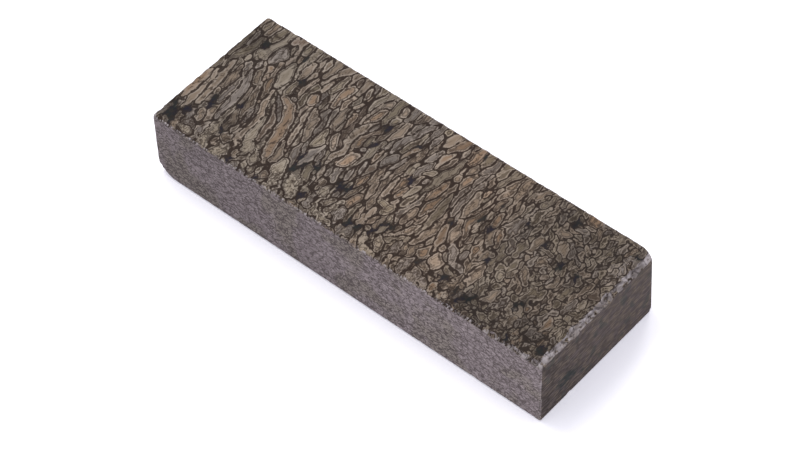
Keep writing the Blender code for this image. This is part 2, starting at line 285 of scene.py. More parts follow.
@dataclass(frozen=True)
class Noise:
    """Smooth noise between -1 and 1 on a square lattice.

    Args:
        pitch: the lattice's pitch in millimetres.
        seed: picks the noise.
    """

    pitch: float
    seed: int

    TABLE = 256

    def at(self, x: np.ndarray, y: np.ndarray) -> np.ndarray:
        """Read the noise.

        Args:
            x: points' x in millimetres.
            y: points' y in millimetres.

        Returns:
            The noise at the points.
        """
        table = np.random.default_rng(self.seed).uniform(-1.0, 1.0, (self.TABLE, self.TABLE))
        u, v = x / self.pitch + self.TABLE, y / self.pitch + self.TABLE
        i, j = np.floor(u).astype(int), np.floor(v).astype(int)
        a, b = smooth_step(0.0, 1.0, u - i), smooth_step(0.0, 1.0, v - j)
        i, j = i % self.TABLE, j % self.TABLE
        k, l = (i + 1) % self.TABLE, (j + 1) % self.TABLE
        near = table[i, j] * (1.0 - a) + table[k, j] * a
        far = table[i, l] * (1.0 - a) + table[k, l] * a
        return near * (1.0 - b) + far * b


def box_round(spine: np.ndarray, margin: float) -> tuple[np.ndarray, np.ndarray]:
    """Give the lowest and the highest corner of a box round a spine."""
    wide = spine[:, 2].max() + margin
    return spine[:, :2].min(0) - wide, spine[:, :2].max(0) + wide


@dataclass(frozen=True)
class BoneCell:
    """One cell of the bone: its spine as rows of x, y and radius, its tone and its group."""

    spine: np.ndarray
    tone: Tone
    group: int


@dataclass(frozen=True)
class Nearest:
    """The nearest cell at each point, and how deep inside its outline the point lies."""

    cell: np.ndarray
    depth: np.ndarray


@dataclass
class CellPattern:
    """The pattern of bone cells on the block's top, in millimetres.

    Cells that stand out are placed as listed, and give the grain around them.
    Slimmer and slimmer cells then grow along the grain into the room that is
    left, and some of them join a neighbour.

    Args:
        half_length: half the block's length.
        half_width: half the block's width.
    """

    half_length: float
    half_width: float
    seed: int = 7
    raster_pitch: float = 0.15
    raster_edge: float = 1.0
    margin: float = 3.0
    far_off: float = 9.0
    least_gap: float = 0.08
    most_gap: float = 0.28
    left_gap_gain: float = 1.4
    reach: float = 0.52
    least_radius: float = 0.17
    least_left_radius: float = 0.3
    tip_radius: float = 0.08
    stride: float = 0.3
    side_look: float = 0.25
    side_step: float = 0.12
    grain_reach: float = 2.6
    front_strip: float = -12.0

    # Places along the block, from its middle, where the fillers change.
    left_until: float = -25.0
    even_until: float = -5.0
    neat_until: float = 24.0
    joined_from: float = 26.0
    olive_from: float = 28.0
    lean_from: float = 30.0

    # What changes along the block: the place, then the value there.
    lean: Knots = (
        (-60.0, -7.0), (-50.0, -15.0), (-38.0, -18.0), (-28.0, -14.0), (-20.0, -1.0),
        (-8.0, 10.0), (5.0, 10.0), (20.0, 2.0), (32.0, -6.0), (60.0, -8.0),
    )
    half_widths: Knots = (
        (-60.0, 1.10), (-25.0, 1.00), (-18.0, 0.88), (-1.0, 0.88), (6.0, 1.06), (20.0, 1.02),
        (27.0, 0.68), (34.0, 0.50), (60.0, 0.45),
    )
    widening: Knots = ((-60.0, 1.25), (-27.0, 1.20), (-18.0, 1.08), (20.0, 1.0), (60.0, 0.95))
    lengths: Knots = (
        (-60.0, 16.0), (-27.0, 14.5), (-18.0, 13.5), (20.0, 13.0), (26.0, 7.5), (34.0, 3.9),
        (60.0, 3.4),
    )

    # Rounds of fillers: their scale, and how many are tried.
    rounds: tuple[tuple[float, int], ...] = (
        (1.15, 3000), (0.95, 6000), (0.72, 6000), (0.5, 5000), (0.36, 3000),
    )
    cells: list[BoneCell] = field(default_factory=list)

    def __post_init__(self) -> None:
        """Lay the cells."""
        self.rng = np.random.default_rng(self.seed)
        last_column = self.half_length + self.raster_edge
        last_row = self.half_width + self.raster_edge
        self.columns = np.arange(-last_column, last_column, self.raster_pitch)
        self.rows = np.arange(-last_row, last_row, self.raster_pitch)
        self.raster_x, self.raster_y = np.meshgrid(self.columns, self.rows)
        self.room = np.full(self.raster_x.shape, self.far_off)
        self.owner = np.full(self.raster_x.shape, -1)
        self.place_cells()
        self.grain = self.grain_angles()
        for scale, tries in self.rounds:
            for _ in range(tries):
                self.try_filler(scale)
        longest = max(len(cell.spine) for cell in self.cells)
        self.spines = np.array([
            np.vstack([cell.spine] + [cell.spine[-1:]] * (longest - len(cell.spine)))
            for cell in self.cells
        ])
        self.groups = np.array([cell.group for cell in self.cells])

    def place_cells(self) -> None:
        """Lay the cells that stand out, and keep the pools free."""
        for tone, rows in PLACED_CELLS.items():
            for row in rows:
                points = np.array(row[1:]).reshape(-1, 2)
                wider = np.interp(points[:, 0].mean(), *np.transpose(self.widening))
                spine = self.tapered(points, row[0] * wider)
                self.cells.append(BoneCell(spine, tone, len(self.cells)))
                self.mark(spine, len(self.cells) - 1)
        for x, y, radius in DARK_POOLS:
            self.mark(np.array([[x, y, 0.8 * radius], [x + 0.01, y, 0.8 * radius]]), -1)

    def tapered(self, points: np.ndarray, half_width: float) -> np.ndarray:
        """Give a spine a bent middle and slim ends.

        Args:
            points: the spine's points.
            half_width: the cell's half width.

        Returns:
            Rows of x, y and radius.
        """
        if len(points) == 2:
            along = points[1] - points[0]
            side = np.array([-along[1], along[0]])
            middle = points.mean(0) + side * self.rng.normal(0.0, 0.05)
            middle = middle + along * self.rng.uniform(-0.15, 0.15)
            points = np.array([points[0], middle, points[1]])
        radii = np.full(len(points), half_width - 0.06)
        for end, beside in ((0, 1), (-1, -2)):
            radii[end] = radii[beside] * self.rng.uniform(0.25, 0.75)
            step = points[end] - points[beside]
            reach = 0.9 * (half_width - radii[end]) / max(np.hypot(*step), 1e-6)
            points[end] = points[end] + step * reach
        return np.column_stack([points, radii])

    def mark(self, spine: np.ndarray, index: int) -> None:
        """Take a bar's place out of the room that is left.

        Args:
            spine: rows of x, y and radius.
            index: the cell that owns the place.
        """
        low, high = box_round(spine, self.margin)
        left, right = np.searchsorted(self.columns, (low[0], high[0]))
        bottom, top = np.searchsorted(self.rows, (low[1], high[1]))
        window = (slice(bottom, top), slice(left, right))
        for a, b in zip(spine, spine[1:]):
            distance = bar_distance(self.raster_x[window], self.raster_y[window], a, b)
            nearer = distance < self.room[window]
            self.room[window] = np.where(nearer, distance, self.room[window])
            self.owner[window] = np.where(nearer, index, self.owner[window])

    def grain_angles(self) -> np.ndarray:
        """Work out the grain from the placed cells and the block's usual lean.

        Returns:
            The grain's angle at each place of the raster.
        """
        lean = np.radians(90.0 - np.interp(self.raster_x, *np.transpose(self.lean)))
        weight = np.where(self.raster_x > self.lean_from, 0.5, 0.12)
        across, up = weight * np.cos(2.0 * lean), weight * np.sin(2.0 * lean)
        for cell in self.cells:
            for a, b in zip(cell.spine, cell.spine[1:]):
                length = math.hypot(b[0] - a[0], b[1] - a[1])
                away = np.maximum(bar_distance(self.raster_x, self.raster_y, a, b), 0.0)
                share = min(length / 3.0, 1.5) ** 2 * np.exp(-(away / self.grain_reach) ** 2)
                angle = 2.0 * math.atan2(b[1] - a[1], b[0] - a[0])
                across += share * math.cos(angle)
                up += share * math.sin(angle)
        return 0.5 * np.arctan2(up, across)

    def read(self, table: np.ndarray, x: float, y: float) -> float:
        """Read a raster at one place.

        Args:
            table: the raster.
            x: the place's x.
            y: the place's y.

        Returns:
            The raster's value there.
        """
        last_row, last_column = table.shape[0] - 1, table.shape[1] - 1
        column = min(max(round((x - self.columns[0]) / self.raster_pitch), 0), last_column)
        row = min(max(round((y - self.rows[0]) / self.raster_pitch), 0), last_row)
        return table[row, column]

    def tone_odds(self, x: float, y: float) -> tuple[float, ...]:
        """Give how often a filler has each tone.

        Args:
            x: where the filler starts.
            y: where the filler starts.

        Returns:
            The tones' shares, in the order of Tone.
        """
        if y < self.front_strip:
            return 0.26, 0.05, 0.24, 0.18, 0.23, 0.04, 0.0
        if x < self.even_until:
            return 0.37, 0.09, 0.24, 0.12, 0.12, 0.06, 0.0
        if x < self.olive_from:
            return 0.38, 0.14, 0.20, 0.12, 0.11, 0.05, 0.0
        return 0.26, 0.05, 0.26, 0.28, 0.10, 0.05, 0.0

    def try_filler(self, scale: float) -> None:
        """Try to grow one filler cell from a random place.

        Args:
            scale: its half width, as a share of the usual one there.
        """
        rng = self.rng
        x = rng.uniform(-self.half_length, self.half_length)
        y = rng.uniform(-self.half_width, self.half_width)
        half_width = np.interp(x, *np.transpose(self.half_widths)) * scale * rng.uniform(0.85, 1.15)
        length = np.interp(x, *np.transpose(self.lengths)) * rng.uniform(0.4, 1.25)
        if y < self.front_strip:
            half_width *= 0.9
            length *= 0.5
        half_width = max(self.least_radius, half_width)
        gap_gain = self.left_gap_gain if x < self.left_until else 1.0
        gap = rng.uniform(self.least_gap, self.most_gap * gap_gain)
        if self.read(self.room, x, y) < 0.9 * half_width + gap:
            return
        spine = self.grow(x, y, half_width, length * (0.6 + 0.4 * scale), gap)
        if spine is None:
            return
        tone = list(Tone)[rng.choice(len(Tone), p=self.tone_odds(x, y))]
        group = len(self.cells)
        often_joined = x > self.joined_from or y < self.front_strip or scale < 0.6
        if rng.random() < (0.4 if often_joined else 0.2):
            end = spine[rng.choice((0, -1))]
            neighbour = self.read(self.owner, end[0], end[1])
            if neighbour >= 0:
                group, tone = self.cells[neighbour].group, self.cells[neighbour].tone
        self.cells.append(BoneCell(spine, tone, group))
        self.mark(spine, len(self.cells) - 1)

    def grow(
        self, x: float, y: float, half_width: float, length: float, gap: float
    ) -> np.ndarray | None:
        """Grow a filler along the grain, both ways, into the room there is.

        Args:
            x: where it starts.
            y: where it starts.
            half_width: the most it may be wide, halved.
            length: the most it may be long.
            gap: how far it stays away from its neighbours.

        Returns:
            Rows of x, y and radius, or None where it would be too short.
        """
        neat = x < self.neat_until and y > self.front_strip
        turn = self.rng.normal(0.0, 0.06 if neat else 0.40)
        share = self.rng.uniform(0.3, 0.7)
        there = self.walk(x, y, turn, length * share, gap)
        back = self.walk(x, y, turn + math.pi, length * (1.0 - share), gap)
        path = np.array(back[::-1] + [(x, y)] + there)
        travelled = np.concatenate([[0.0], np.cumsum(np.hypot(*np.diff(path, axis=0).T))])
        if travelled[-1] < (4.4 if neat else 1.8) * half_width:
            return None
        places = np.linspace(0.0, travelled[-1], 5)
        points = np.column_stack([np.interp(places, travelled, path[:, k]) for k in range(2)])
        ends = self.rng.uniform(0.10, 0.55, 2)
        profile = half_width * np.array([ends[0], 0.88, 1.0, 0.88, ends[1]])
        room = np.array([self.read(self.room, *point) for point in points]) - gap
        radii = np.maximum(np.minimum(profile, room), self.tip_radius)
        if radii.max() < (self.least_left_radius if x < self.left_until else self.least_radius):
            return None
        return np.column_stack([points, radii])

    def walk(
        self, x: float, y: float, turn: float, reach: float, gap: float
    ) -> list[tuple[float, float]]:
        """Walk one way along the grain, keeping to the middle of the room.

        Args:
            x: where the walk starts.
            y: where the walk starts.
            turn: how far the heading is turned from the grain.
            reach: how far to walk.
            gap: how far to stay away from neighbours.

        Returns:
            The points on the way.
        """
        points = []
        heading = self.read(self.grain, x, y) + turn
        for _ in range(int(reach / self.stride)):
            angle = self.read(self.grain, x, y) + turn
            if math.cos(angle - heading) < 0.0:
                angle += math.pi
            heading = math.atan2(
                math.sin(heading) + math.sin(angle), math.cos(heading) + math.cos(angle)
            )
            x += self.stride * math.cos(heading)
            y += self.stride * math.sin(heading)
            side_x, side_y = -math.sin(heading), math.cos(heading)
            look_x, look_y = self.side_look * side_x, self.side_look * side_y
            left = self.read(self.room, x + look_x, y + look_y)
            right = self.read(self.room, x - look_x, y - look_y)
            shift = min(max(0.5 * (left - right), -self.side_step), self.side_step)
            x, y = x + shift * side_x, y + shift * side_y
            if self.read(self.room, x, y) < gap + 0.1:
                break
            points.append((x, y))
        return points

    def warp(self, x: np.ndarray, y: np.ndarray) -> tuple[np.ndarray, np.ndarray]:
        """Shift points so that the cells' outlines wander.

        Args:
            x: points' x.
            y: points' y.

        Returns:
            The shifted x and y.
        """
        rough = 0.12 + 0.23 * smooth_step(20.0, 32.0, x) + 0.36 * smooth_step(9.5, 12.5, -y)
        shift_x = 0.26 * Noise(2.4, 1).at(x, y) + rough * Noise(1.1, 2).at(x, y)
        shift_y = 0.34 * Noise(2.6, 3).at(x, y) + rough * Noise(1.2, 4).at(x, y)
        fine_x, fine_y = Noise(0.5, 7).at(x, y), Noise(0.5, 8).at(x, y)
        return x + shift_x + 0.5 * rough * fine_x, y + shift_y + 0.5 * rough * fine_y

    def faded(self, x: np.ndarray, y: np.ndarray) -> np.ndarray:
        """Give how far the border between cells grown together has faded, as a distance."""
        return 0.8 * smooth_step(-0.25, 0.35, Noise(1.6, 21).at(x, y))

    def nearest(self, x: np.ndarray, y: np.ndarray) -> Nearest:
        """Find the cell at each point and how deep inside its outline the point is.

        Args:
            x: points' x, warped.
            y: points' y, warped.

        Returns:
            The nearest cells and the depths, negative between outlines.
        """
        cell = np.full(x.size, 0)
        group = np.full(x.size, -1)
        best, other, kin = (np.full(x.size, self.far_off) for _ in range(3))
        for index, bone_cell in enumerate(self.cells):
            spine = bone_cell.spine
            low, high = box_round(spine, self.margin)
            near = np.nonzero((x > low[0]) & (x < high[0]) & (y > low[1]) & (y < high[1]))[0]
            distance = np.full(near.size, self.far_off)
            for a, b in zip(spine, spine[1:]):
                distance = np.minimum(distance, bar_distance(x[near], y[near], a, b))
            same = group[near] == bone_cell.group
            first = distance < best[near]
            new = near[first & ~same]
            other[new] = np.minimum(best[new], other[new])
            kin[new] = self.far_off
            own = near[first & same]
            kin[own] = best[own]
            best[near[first]] = distance[first]
            group[near[first]] = bone_cell.group
            cell[near[first]] = index
            later = near[~first & same]
            kin[later] = np.minimum(kin[later], distance[~first & same])
            beside = near[~first & ~same]
            other[beside] = np.minimum(other[beside], distance[~first & ~same])
        joined = 1.0 - smooth_step(0.0, 0.6, (kin - best) / 2.0)
        depth = np.minimum(self.reach + self.faded(x, y) * joined - best, (other - best) / 2.0)
        return Nearest(cell, depth)

    def distance(self, cells: np.ndarray, x: np.ndarray, y: np.ndarray) -> np.ndarray:
        """Measure each point's distance to one given cell's outline.

        Args:
            cells: the cell for each point.
            x: points' x, warped.
            y: points' y, warped.

        Returns:
            The distances, negative inside.
        """
        spines = self.spines[cells]
        found = np.full(x.size, self.far_off)
        for part in range(spines.shape[1] - 1):
            found = np.minimum(found, bar_distance(x, y, spines[:, part], spines[:, part + 1]))
        return found

    def pool_distance(self, x: np.ndarray, y: np.ndarray) -> np.ndarray:
        """Measure the distance to the nearest dark pool.

        Args:
            x: points' x, warped.
            y: points' y, warped.

        Returns:
            The distances, negative inside a pool.
        """
        found = np.full(x.size, self.far_off)
        for across, up, radius in DARK_POOLS:
            found = np.minimum(found, np.hypot(x - across, 0.75 * (y - up)) - 0.75 * radius)
        return found

    def murk(self, x: np.ndarray, y: np.ndarray) -> np.ndarray:
        """Give how murky the top is at each point.

        Args:
            x: points' x, warped.
            y: points' y, warped.

        Returns:
            The murk, at most 1, and below 0 where the top is clear.
        """
        found = np.zeros(x.size)
        for across, up, radius, strength in MURKY_PLACES:
            found += strength * np.exp(-((x - across) ** 2 + (y - up) ** 2) / radius ** 2)
        return np.clip(found, -0.4, 1.0)


@dataclass
class TopSheet:
    """The faces of the top, cut along the cells' borders, and the cell at each first point."""

    points: np.ndarray
    faces: list[tuple[int, ...]]
    cells: np.ndarray
    depth: np.ndarray
    cell_at: np.ndarray


@dataclass
class BlockSkin:
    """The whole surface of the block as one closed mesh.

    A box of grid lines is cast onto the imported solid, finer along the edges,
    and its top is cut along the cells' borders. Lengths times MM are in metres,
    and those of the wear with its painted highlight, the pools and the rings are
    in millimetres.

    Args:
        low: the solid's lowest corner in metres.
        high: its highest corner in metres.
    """

    low: Vector
    high: Vector
    pitch_along: float = 0.42 * MM
    pitch_across: float = 0.40 * MM
    pitch_up: float = 1.6 * MM
    edge_pitch: float = 0.20 * MM
    foot_pitch: float = 0.50 * MM
    edge_band: float = 1.2 * MM
    core_inset: float = 3.0 * MM
    rim_depth: float = 2.5 * MM
    side_depth: float = -0.3
    chip_depth: float = 0.09 * MM
    chip_pitch: float = 0.45
    edge_squareness: Pair = (0.94, 0.985)
    lying_tilt: Pair = (0.10, 0.25)
    upright_share: float = 0.35
    corner_facing: tuple[float, float, float] = (0.50, 0.62, 0.60)
    corner_loss: float = 0.70 * MM
    corner_blend: float = 0.80 * MM
    polished_facing: Pair = (0.30, 0.55)
    end_facing: Pair = (0.80, 0.95)
    # How much the edges are worn and painted pale as a highlight, and where.
    side_wear_and_highlight: float = 0.35
    top_wear_and_highlight: float = 0.45
    front_wear_and_highlight: float = 0.85
    front_wear_and_highlight_part: Pair = (0.68, 0.92)
    end_wear_and_highlight_inset: Pair = (3.0, 2.0)
    end_wear_and_highlight_loss: float = 0.72
    end_wear_and_highlight_fades: Pair = (9.0, 15.0)
    bevel_inset: Pair = (1.5, 1.2)
    deepest: float = 3.0
    furthest_pool: float = 2.0
    placed_shade: float = 1.11
    filler_shade: float = 0.92
    filler_shade_change: float = 0.08
    shade_spread: float = 0.10
    shade_limits: Pair = (-0.22, 0.17)
    least_width: float = 0.35
    faint_ring: float = 0.12
    ring_depths: Pair = (0.44, 0.62)
    mottled_odds: float = 0.18

    def grid_line(self, low: float, high: float, pitch: float, first_pitch: float) -> np.ndarray:
        """Space the grid lines of one direction, closer together near both ends.

        Args:
            low: first coordinate.
            high: last coordinate.
            pitch: the pitch in the middle.
            first_pitch: the pitch at the first coordinate.

        Returns:
            The lines' coordinates.
        """
        places = np.linspace(low, high, 6001)
        far_from_first = smooth_step(self.edge_band, 3.0 * self.edge_band, places - low)
        far_from_last = smooth_step(self.edge_band, 3.0 * self.edge_band, high - places)
        steps = np.minimum(
            first_pitch + (pitch - first_pitch) * far_from_first,
            self.edge_pitch + (pitch - self.edge_pitch) * far_from_last,
        )
        count = np.concatenate([[0.0], np.cumsum(np.diff(places) / steps[1:])])
        return np.interp(np.linspace(0.0, count[-1], round(count[-1]) + 1), count, places)

    def box_grid(self) -> tuple[np.ndarray, np.ndarray]:
        """Lay the grid on the box's six sides.

        Returns:
            The points, and the point's number at each place of the grid, or -1.
        """
        x = self.grid_line(self.low.x, self.high.x, self.pitch_along, self.edge_pitch)
        y = self.grid_line(self.low.y, self.high.y, self.pitch_across, self.edge_pitch)
        z = self.grid_line(self.low.z, self.high.z, self.pitch_up, self.foot_pitch)
        numbers = np.full((len(x), len(y), len(z)), -1)
        outside = np.ones(numbers.shape, bool)
        outside[1:-1, 1:-1, 1:-1] = False
        margin_x = np.searchsorted(x, self.low.x + self.core_inset)
        margin_y = np.searchsorted(y, self.low.y + self.core_inset)
        outside[margin_x + 1:-margin_x - 1, margin_y + 1:-margin_y - 1, 0] = False
        numbers[outside] = np.arange(outside.sum())
        i, j, k = np.nonzero(outside)
        self.plain_window = (margin_x, margin_y)
        return np.column_stack([x[i], y[j], z[k]]), numbers

    def side_faces(self, numbers: np.ndarray) -> list[tuple[int, ...]]:
        """Make the faces of every side but the top, facing outwards.

        Args:
            numbers: the point's number at each place of the grid.

        Returns:
            The faces.
        """
        sides = (
            numbers[:, 0, :], numbers[:, -1, :].T, numbers[-1, :, :], numbers[0, :, :].T,
            numbers[:, :, 0].T,
        )
        faces = []
        for side in sides:
            quads = np.stack([side[:-1, :-1], side[1:, :-1], side[1:, 1:], side[:-1, 1:]], -1)
            quads = quads.reshape(-1, 4)
            faces += [tuple(quad) for quad in quads[(quads >= 0).all(1)].tolist()]
        a, b = self.plain_window
        under = numbers[a:-a, b:-b, 0]
        rim = [*under[0, :-1], *under[:-1, -1], *under[-1, :0:-1], *under[:0:-1, 0]]
        faces.append(tuple(int(number) for number in rim))
        return faces

    def cast(self, points: np.ndarray, solid: bpy.types.Object) -> tuple[np.ndarray, np.ndarray]:
        """Cast the box's points onto the solid.

        Args:
            points: the points on the box.
            solid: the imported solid.

        Returns:
            The points on the solid and its normals there.
        """
        mesh = solid.data
        tree = BVHTree.FromPolygons(
            [vert.co for vert in mesh.vertices], [tuple(face.vertices) for face in mesh.polygons]
        )
        inset = np.full(3, self.core_inset)
        core = np.clip(points, np.array(self.low) + inset, np.array(self.high) - inset)
        landed, normals = points.copy(), np.zeros_like(points)
        for number, (point, inner) in enumerate(zip(points, core)):
            away = point - inner
            start = Vector(inner + away * 3.0)
            place, normal, _, _ = tree.ray_cast(start, Vector(-away))
            if place is None:
                place, normal, _, _ = tree.find_nearest(Vector(point))
            landed[number], normals[number] = place, normal
        return landed, normals

    def chip(self, points: np.ndarray, normals: np.ndarray) -> tuple[np.ndarray, np.ndarray]:
        """Roughen the broken edges, inwards, and wear the far right corner down.

        Args:
            points: the points on the solid.
            normals: the solid's normals there.

        Returns:
            The points, and how broken the surface is at each, 0 to 1.
        """
        squareness = np.abs(normals).max(1)
        broken = 1.0 - smooth_step(*self.edge_squareness, squareness)
        lying = smooth_step(*self.lying_tilt, np.abs(normals[:, 2]))
        broken *= self.upright_share + (1.0 - self.upright_share) * lying
        x, y, z = points.T / MM
        coarse = Noise(self.chip_pitch, 31).at(x + 1.7 * z, y - 1.3 * z)
        fine = Noise(0.5 * self.chip_pitch, 32).at(x - 1.1 * z, y + 1.9 * z)
        depth = self.chip_depth * broken * (0.6 + 0.9 * coarse + 0.5 * fine)
        chipped = points - normals * np.maximum(depth, 0.0)[:, None]
        facing = np.array(self.corner_facing) / np.linalg.norm(self.corner_facing)
        over = chipped @ facing
        over = over - over.max() + self.corner_loss
        eased = np.clip(over + self.corner_blend, 0.0, 2.0 * self.corner_blend) ** 2
        loss = np.maximum(eased / (4.0 * self.corner_blend), over)
        return chipped - loss[:, None] * facing, broken

    def top_triangles(self, top: np.ndarray) -> np.ndarray:
        """Halve the top's squares, turning the diagonal of every other one.

        Args:
            top: the point's number at each place of the top.

        Returns:
            The triangles as rows of point numbers.
        """
        corners = (top[:-1, :-1], top[1:, :-1], top[1:, 1:], top[:-1, 1:])
        a, b, c, d = (corner.ravel() for corner in corners)
        along, across = np.indices((top.shape[0] - 1, top.shape[1] - 1))
        odd = ((along + across) % 2).reshape(-1, 1) > 0
        first = np.where(odd, np.stack([a, b, c], -1), np.stack([a, b, d], -1))
        second = np.where(odd, np.stack([a, c, d], -1), np.stack([b, c, d], -1))
        return np.concatenate([first, second])

    def border_points(
        self, points: np.ndarray, cell: np.ndarray, here: np.ndarray, there: np.ndarray,
        pattern: CellPattern,
    ) -> tuple[np.ndarray, np.ndarray]:
        """Find where the border between two cells crosses the triangles' edges.

        Args:
            points: all points of the skin.
            cell: the cell at each of them.
            here: the first point's number of each crossed edge.
            there: its last point's number.
            pattern: the cells.

        Returns:
            The crossings, and how deep inside the cells' outlines they lie.
        """
        x, y = pattern.warp(points[:, 0] / MM, points[:, 1] / MM)
        own, others = cell[here], cell[there]
        own_here = pattern.distance(own, x[here], y[here])
        own_there = pattern.distance(own, x[there], y[there])
        lead = own_here - pattern.distance(others, x[here], y[here])
        trail = own_there - pattern.distance(others, x[there], y[there])
        change = lead - trail
        share = np.clip(lead / np.where(np.abs(change) < 1e-9, 1e-9, change), 0.1, 0.9)
        crossings = points[here] * (1.0 - share[:, None]) + points[there] * share[:, None]
        outside = own_here * (1.0 - share) + own_there * share
        faded = pattern.faded(x[here], y[here]) * (1.0 - share)
        faded = faded + pattern.faded(x[there], y[there]) * share
        deep = pattern.reach - outside
        kin = pattern.groups[own] == pattern.groups[others]
        return crossings, np.where(kin, deep + faded, np.minimum(deep, 0.0))

    def cut_top(
        self, points: np.ndarray, numbers: np.ndarray, pattern: CellPattern
    ) -> TopSheet:
        """Cut the top's triangles along the borders of the cells.

        Args:
            points: all points of the skin.
            numbers: the point's number at each place of the grid.
            pattern: the cells.

        Returns:
            The skin's points with the new ones, and the top's faces, cells and depths.
        """
        triangles = self.top_triangles(numbers[:, :, -1])
        x, y = pattern.warp(points[:, 0] / MM, points[:, 1] / MM)
        on_top = np.nonzero(points[:, 2] > self.high.z - self.rim_depth)[0]
        found = pattern.nearest(x[on_top], y[on_top])
        cell, depth = np.zeros(len(points), int), np.full(len(points), self.side_depth)
        cell[on_top], depth[on_top] = found.cell, found.depth

        ends = np.stack([triangles, np.roll(triangles, -1, 1)], -1).reshape(-1, 2)
        pairs, back = np.unique(np.sort(ends, 1), axis=0, return_inverse=True)
        cut = cell[pairs[:, 0]] != cell[pairs[:, 1]]
        middles, middle_depth = self.border_points(
            points, cell, pairs[cut, 0], pairs[cut, 1], pattern
        )
        middle_number = np.full(len(pairs), -1)
        middle_number[cut] = len(points) + np.arange(cut.sum())
        between = middle_number[back.reshape(-1, 3)]

        crossings = (between >= 0).sum(1)
        whole = crossings == 0
        faces = [tuple(face) for face in triangles[whole].tolist()]
        face_cells = [cell[triangles[whole, 0]]]
        for alone in range(3):
            pick = (crossings == 2) & (between[:, (alone + 1) % 3] < 0)
            tip, left, right = (triangles[pick, (alone + step) % 3] for step in range(3))
            to_left, to_right = between[pick, alone], between[pick, (alone + 2) % 3]
            faces += zip(tip.tolist(), to_left.tolist(), to_right.tolist())
            faces += zip(to_left.tolist(), left.tolist(), right.tolist(), to_right.tolist())
            face_cells += [cell[tip], cell[left]]
        pick = crossings == 3
        centre = len(points) + len(middles) + np.arange(pick.sum())
        all_points = np.concatenate([points, middles])
        centres = all_points[between[pick]].mean(1)
        centre_depth = middle_depth[between[pick] - len(points)].mean(1)
        for corner in range(3):
            tip = triangles[pick, corner]
            after, before = between[pick, corner], between[pick, (corner + 2) % 3]
            faces += zip(tip.tolist(), after.tolist(), centre.tolist(), before.tolist())
            face_cells.append(cell[tip])
        depth = np.concatenate([depth, middle_depth, centre_depth])
        all_points = np.concatenate([all_points, centres])
        return TopSheet(all_points, faces, np.concatenate(face_cells), depth, cell)

    def build(self, solid: bpy.types.Object, pattern: CellPattern) -> bpy.types.Object:
        """Build the skin with what its finish reads.

        Args:
            solid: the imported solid.
            pattern: the cells of the top.

        Returns:
            The skin's object.
        """
        box_points, numbers = self.box_grid()
        landed, normals = self.cast(box_points, solid)
        chipped, broken = self.chip(landed, normals)
        sheet = self.cut_top(chipped, numbers, pattern)
        faces = self.side_faces(numbers) + sheet.faces
        mesh = bpy.data.meshes.new("bone_block_skin")
        mesh.from_pydata(sheet.points.tolist(), [], faces)
        mesh.update()
        self.dress_points(mesh, sheet, normals, broken, pattern)
        self.dress_faces(mesh, sheet, pattern)
        mesh.shade_smooth()
        mesh.set_sharp_from_angle(angle=math.radians(32.0))
        skin = bpy.data.objects.new("bone_block_skin", mesh)
        bpy.context.scene.collection.objects.link(skin)
        return skin

    def dress_points(
        self, mesh: bpy.types.Mesh, sheet: TopSheet, normals: np.ndarray, broken: np.ndarray,
        pattern: CellPattern,
    ) -> None:
        """Write what the finish reads at the points.

        Args:
            mesh: the skin.
            sheet: the top.
            normals: the solid's normals at the first points.
            broken: how broken the surface is at the first points.
            pattern: the cells.
        """
        first, extra = len(normals), len(sheet.points) - len(normals)
        polished = smooth_step(*self.polished_facing, normals[:, 2])
        ends = smooth_step(*self.end_facing, np.abs(normals[:, 0]))
        points = sheet.points / MM
        x, y = pattern.warp(points[:, 0], points[:, 1])
        last = self.high.x / MM
        high_up = sheet.points[:, 2] >= self.high.z - self.rim_depth
        # How much each edge is worn: this sets both the real roughness of the break and how much
        # painted highlight lies on it.
        wear_and_highlight = np.where(high_up, self.top_wear_and_highlight, self.side_wear_and_highlight)
        starts, full = (last * share for share in self.front_wear_and_highlight_part)
        towards_right = smooth_step(starts, full, points[:, 0])
        wear_and_highlight = np.maximum(wear_and_highlight, towards_right * (points[:, 1] < 0.0) * self.front_wear_and_highlight)
        starts, full = (last - inset for inset in self.end_wear_and_highlight_inset)
        faded = self.end_wear_and_highlight_loss * smooth_step(*self.end_wear_and_highlight_fades, -points[:, 1])
        wear_and_highlight = np.maximum(wear_and_highlight, smooth_step(starts, full, points[:, 0]) * (1.0 - faded))
        starts, full = (last - inset for inset in self.bevel_inset)
        bevel = smooth_step(starts, full, points[first:, 0])
        point_values = {
            "depth": np.clip(sheet.depth, -self.deepest, self.deepest),
            "pool": np.minimum(pattern.pool_distance(x, y), self.furthest_pool),
            "murk": pattern.murk(x, y),
            "polished": np.concatenate([polished, np.ones(extra)]),
            "broken": np.concatenate([broken, bevel]) * wear_and_highlight,
            "end": np.concatenate([ends, np.zeros(extra)]),
        }
        for name, values in point_values.items():
            mesh.attributes.new(name, "FLOAT", "POINT").data.foreach_set("value", values)

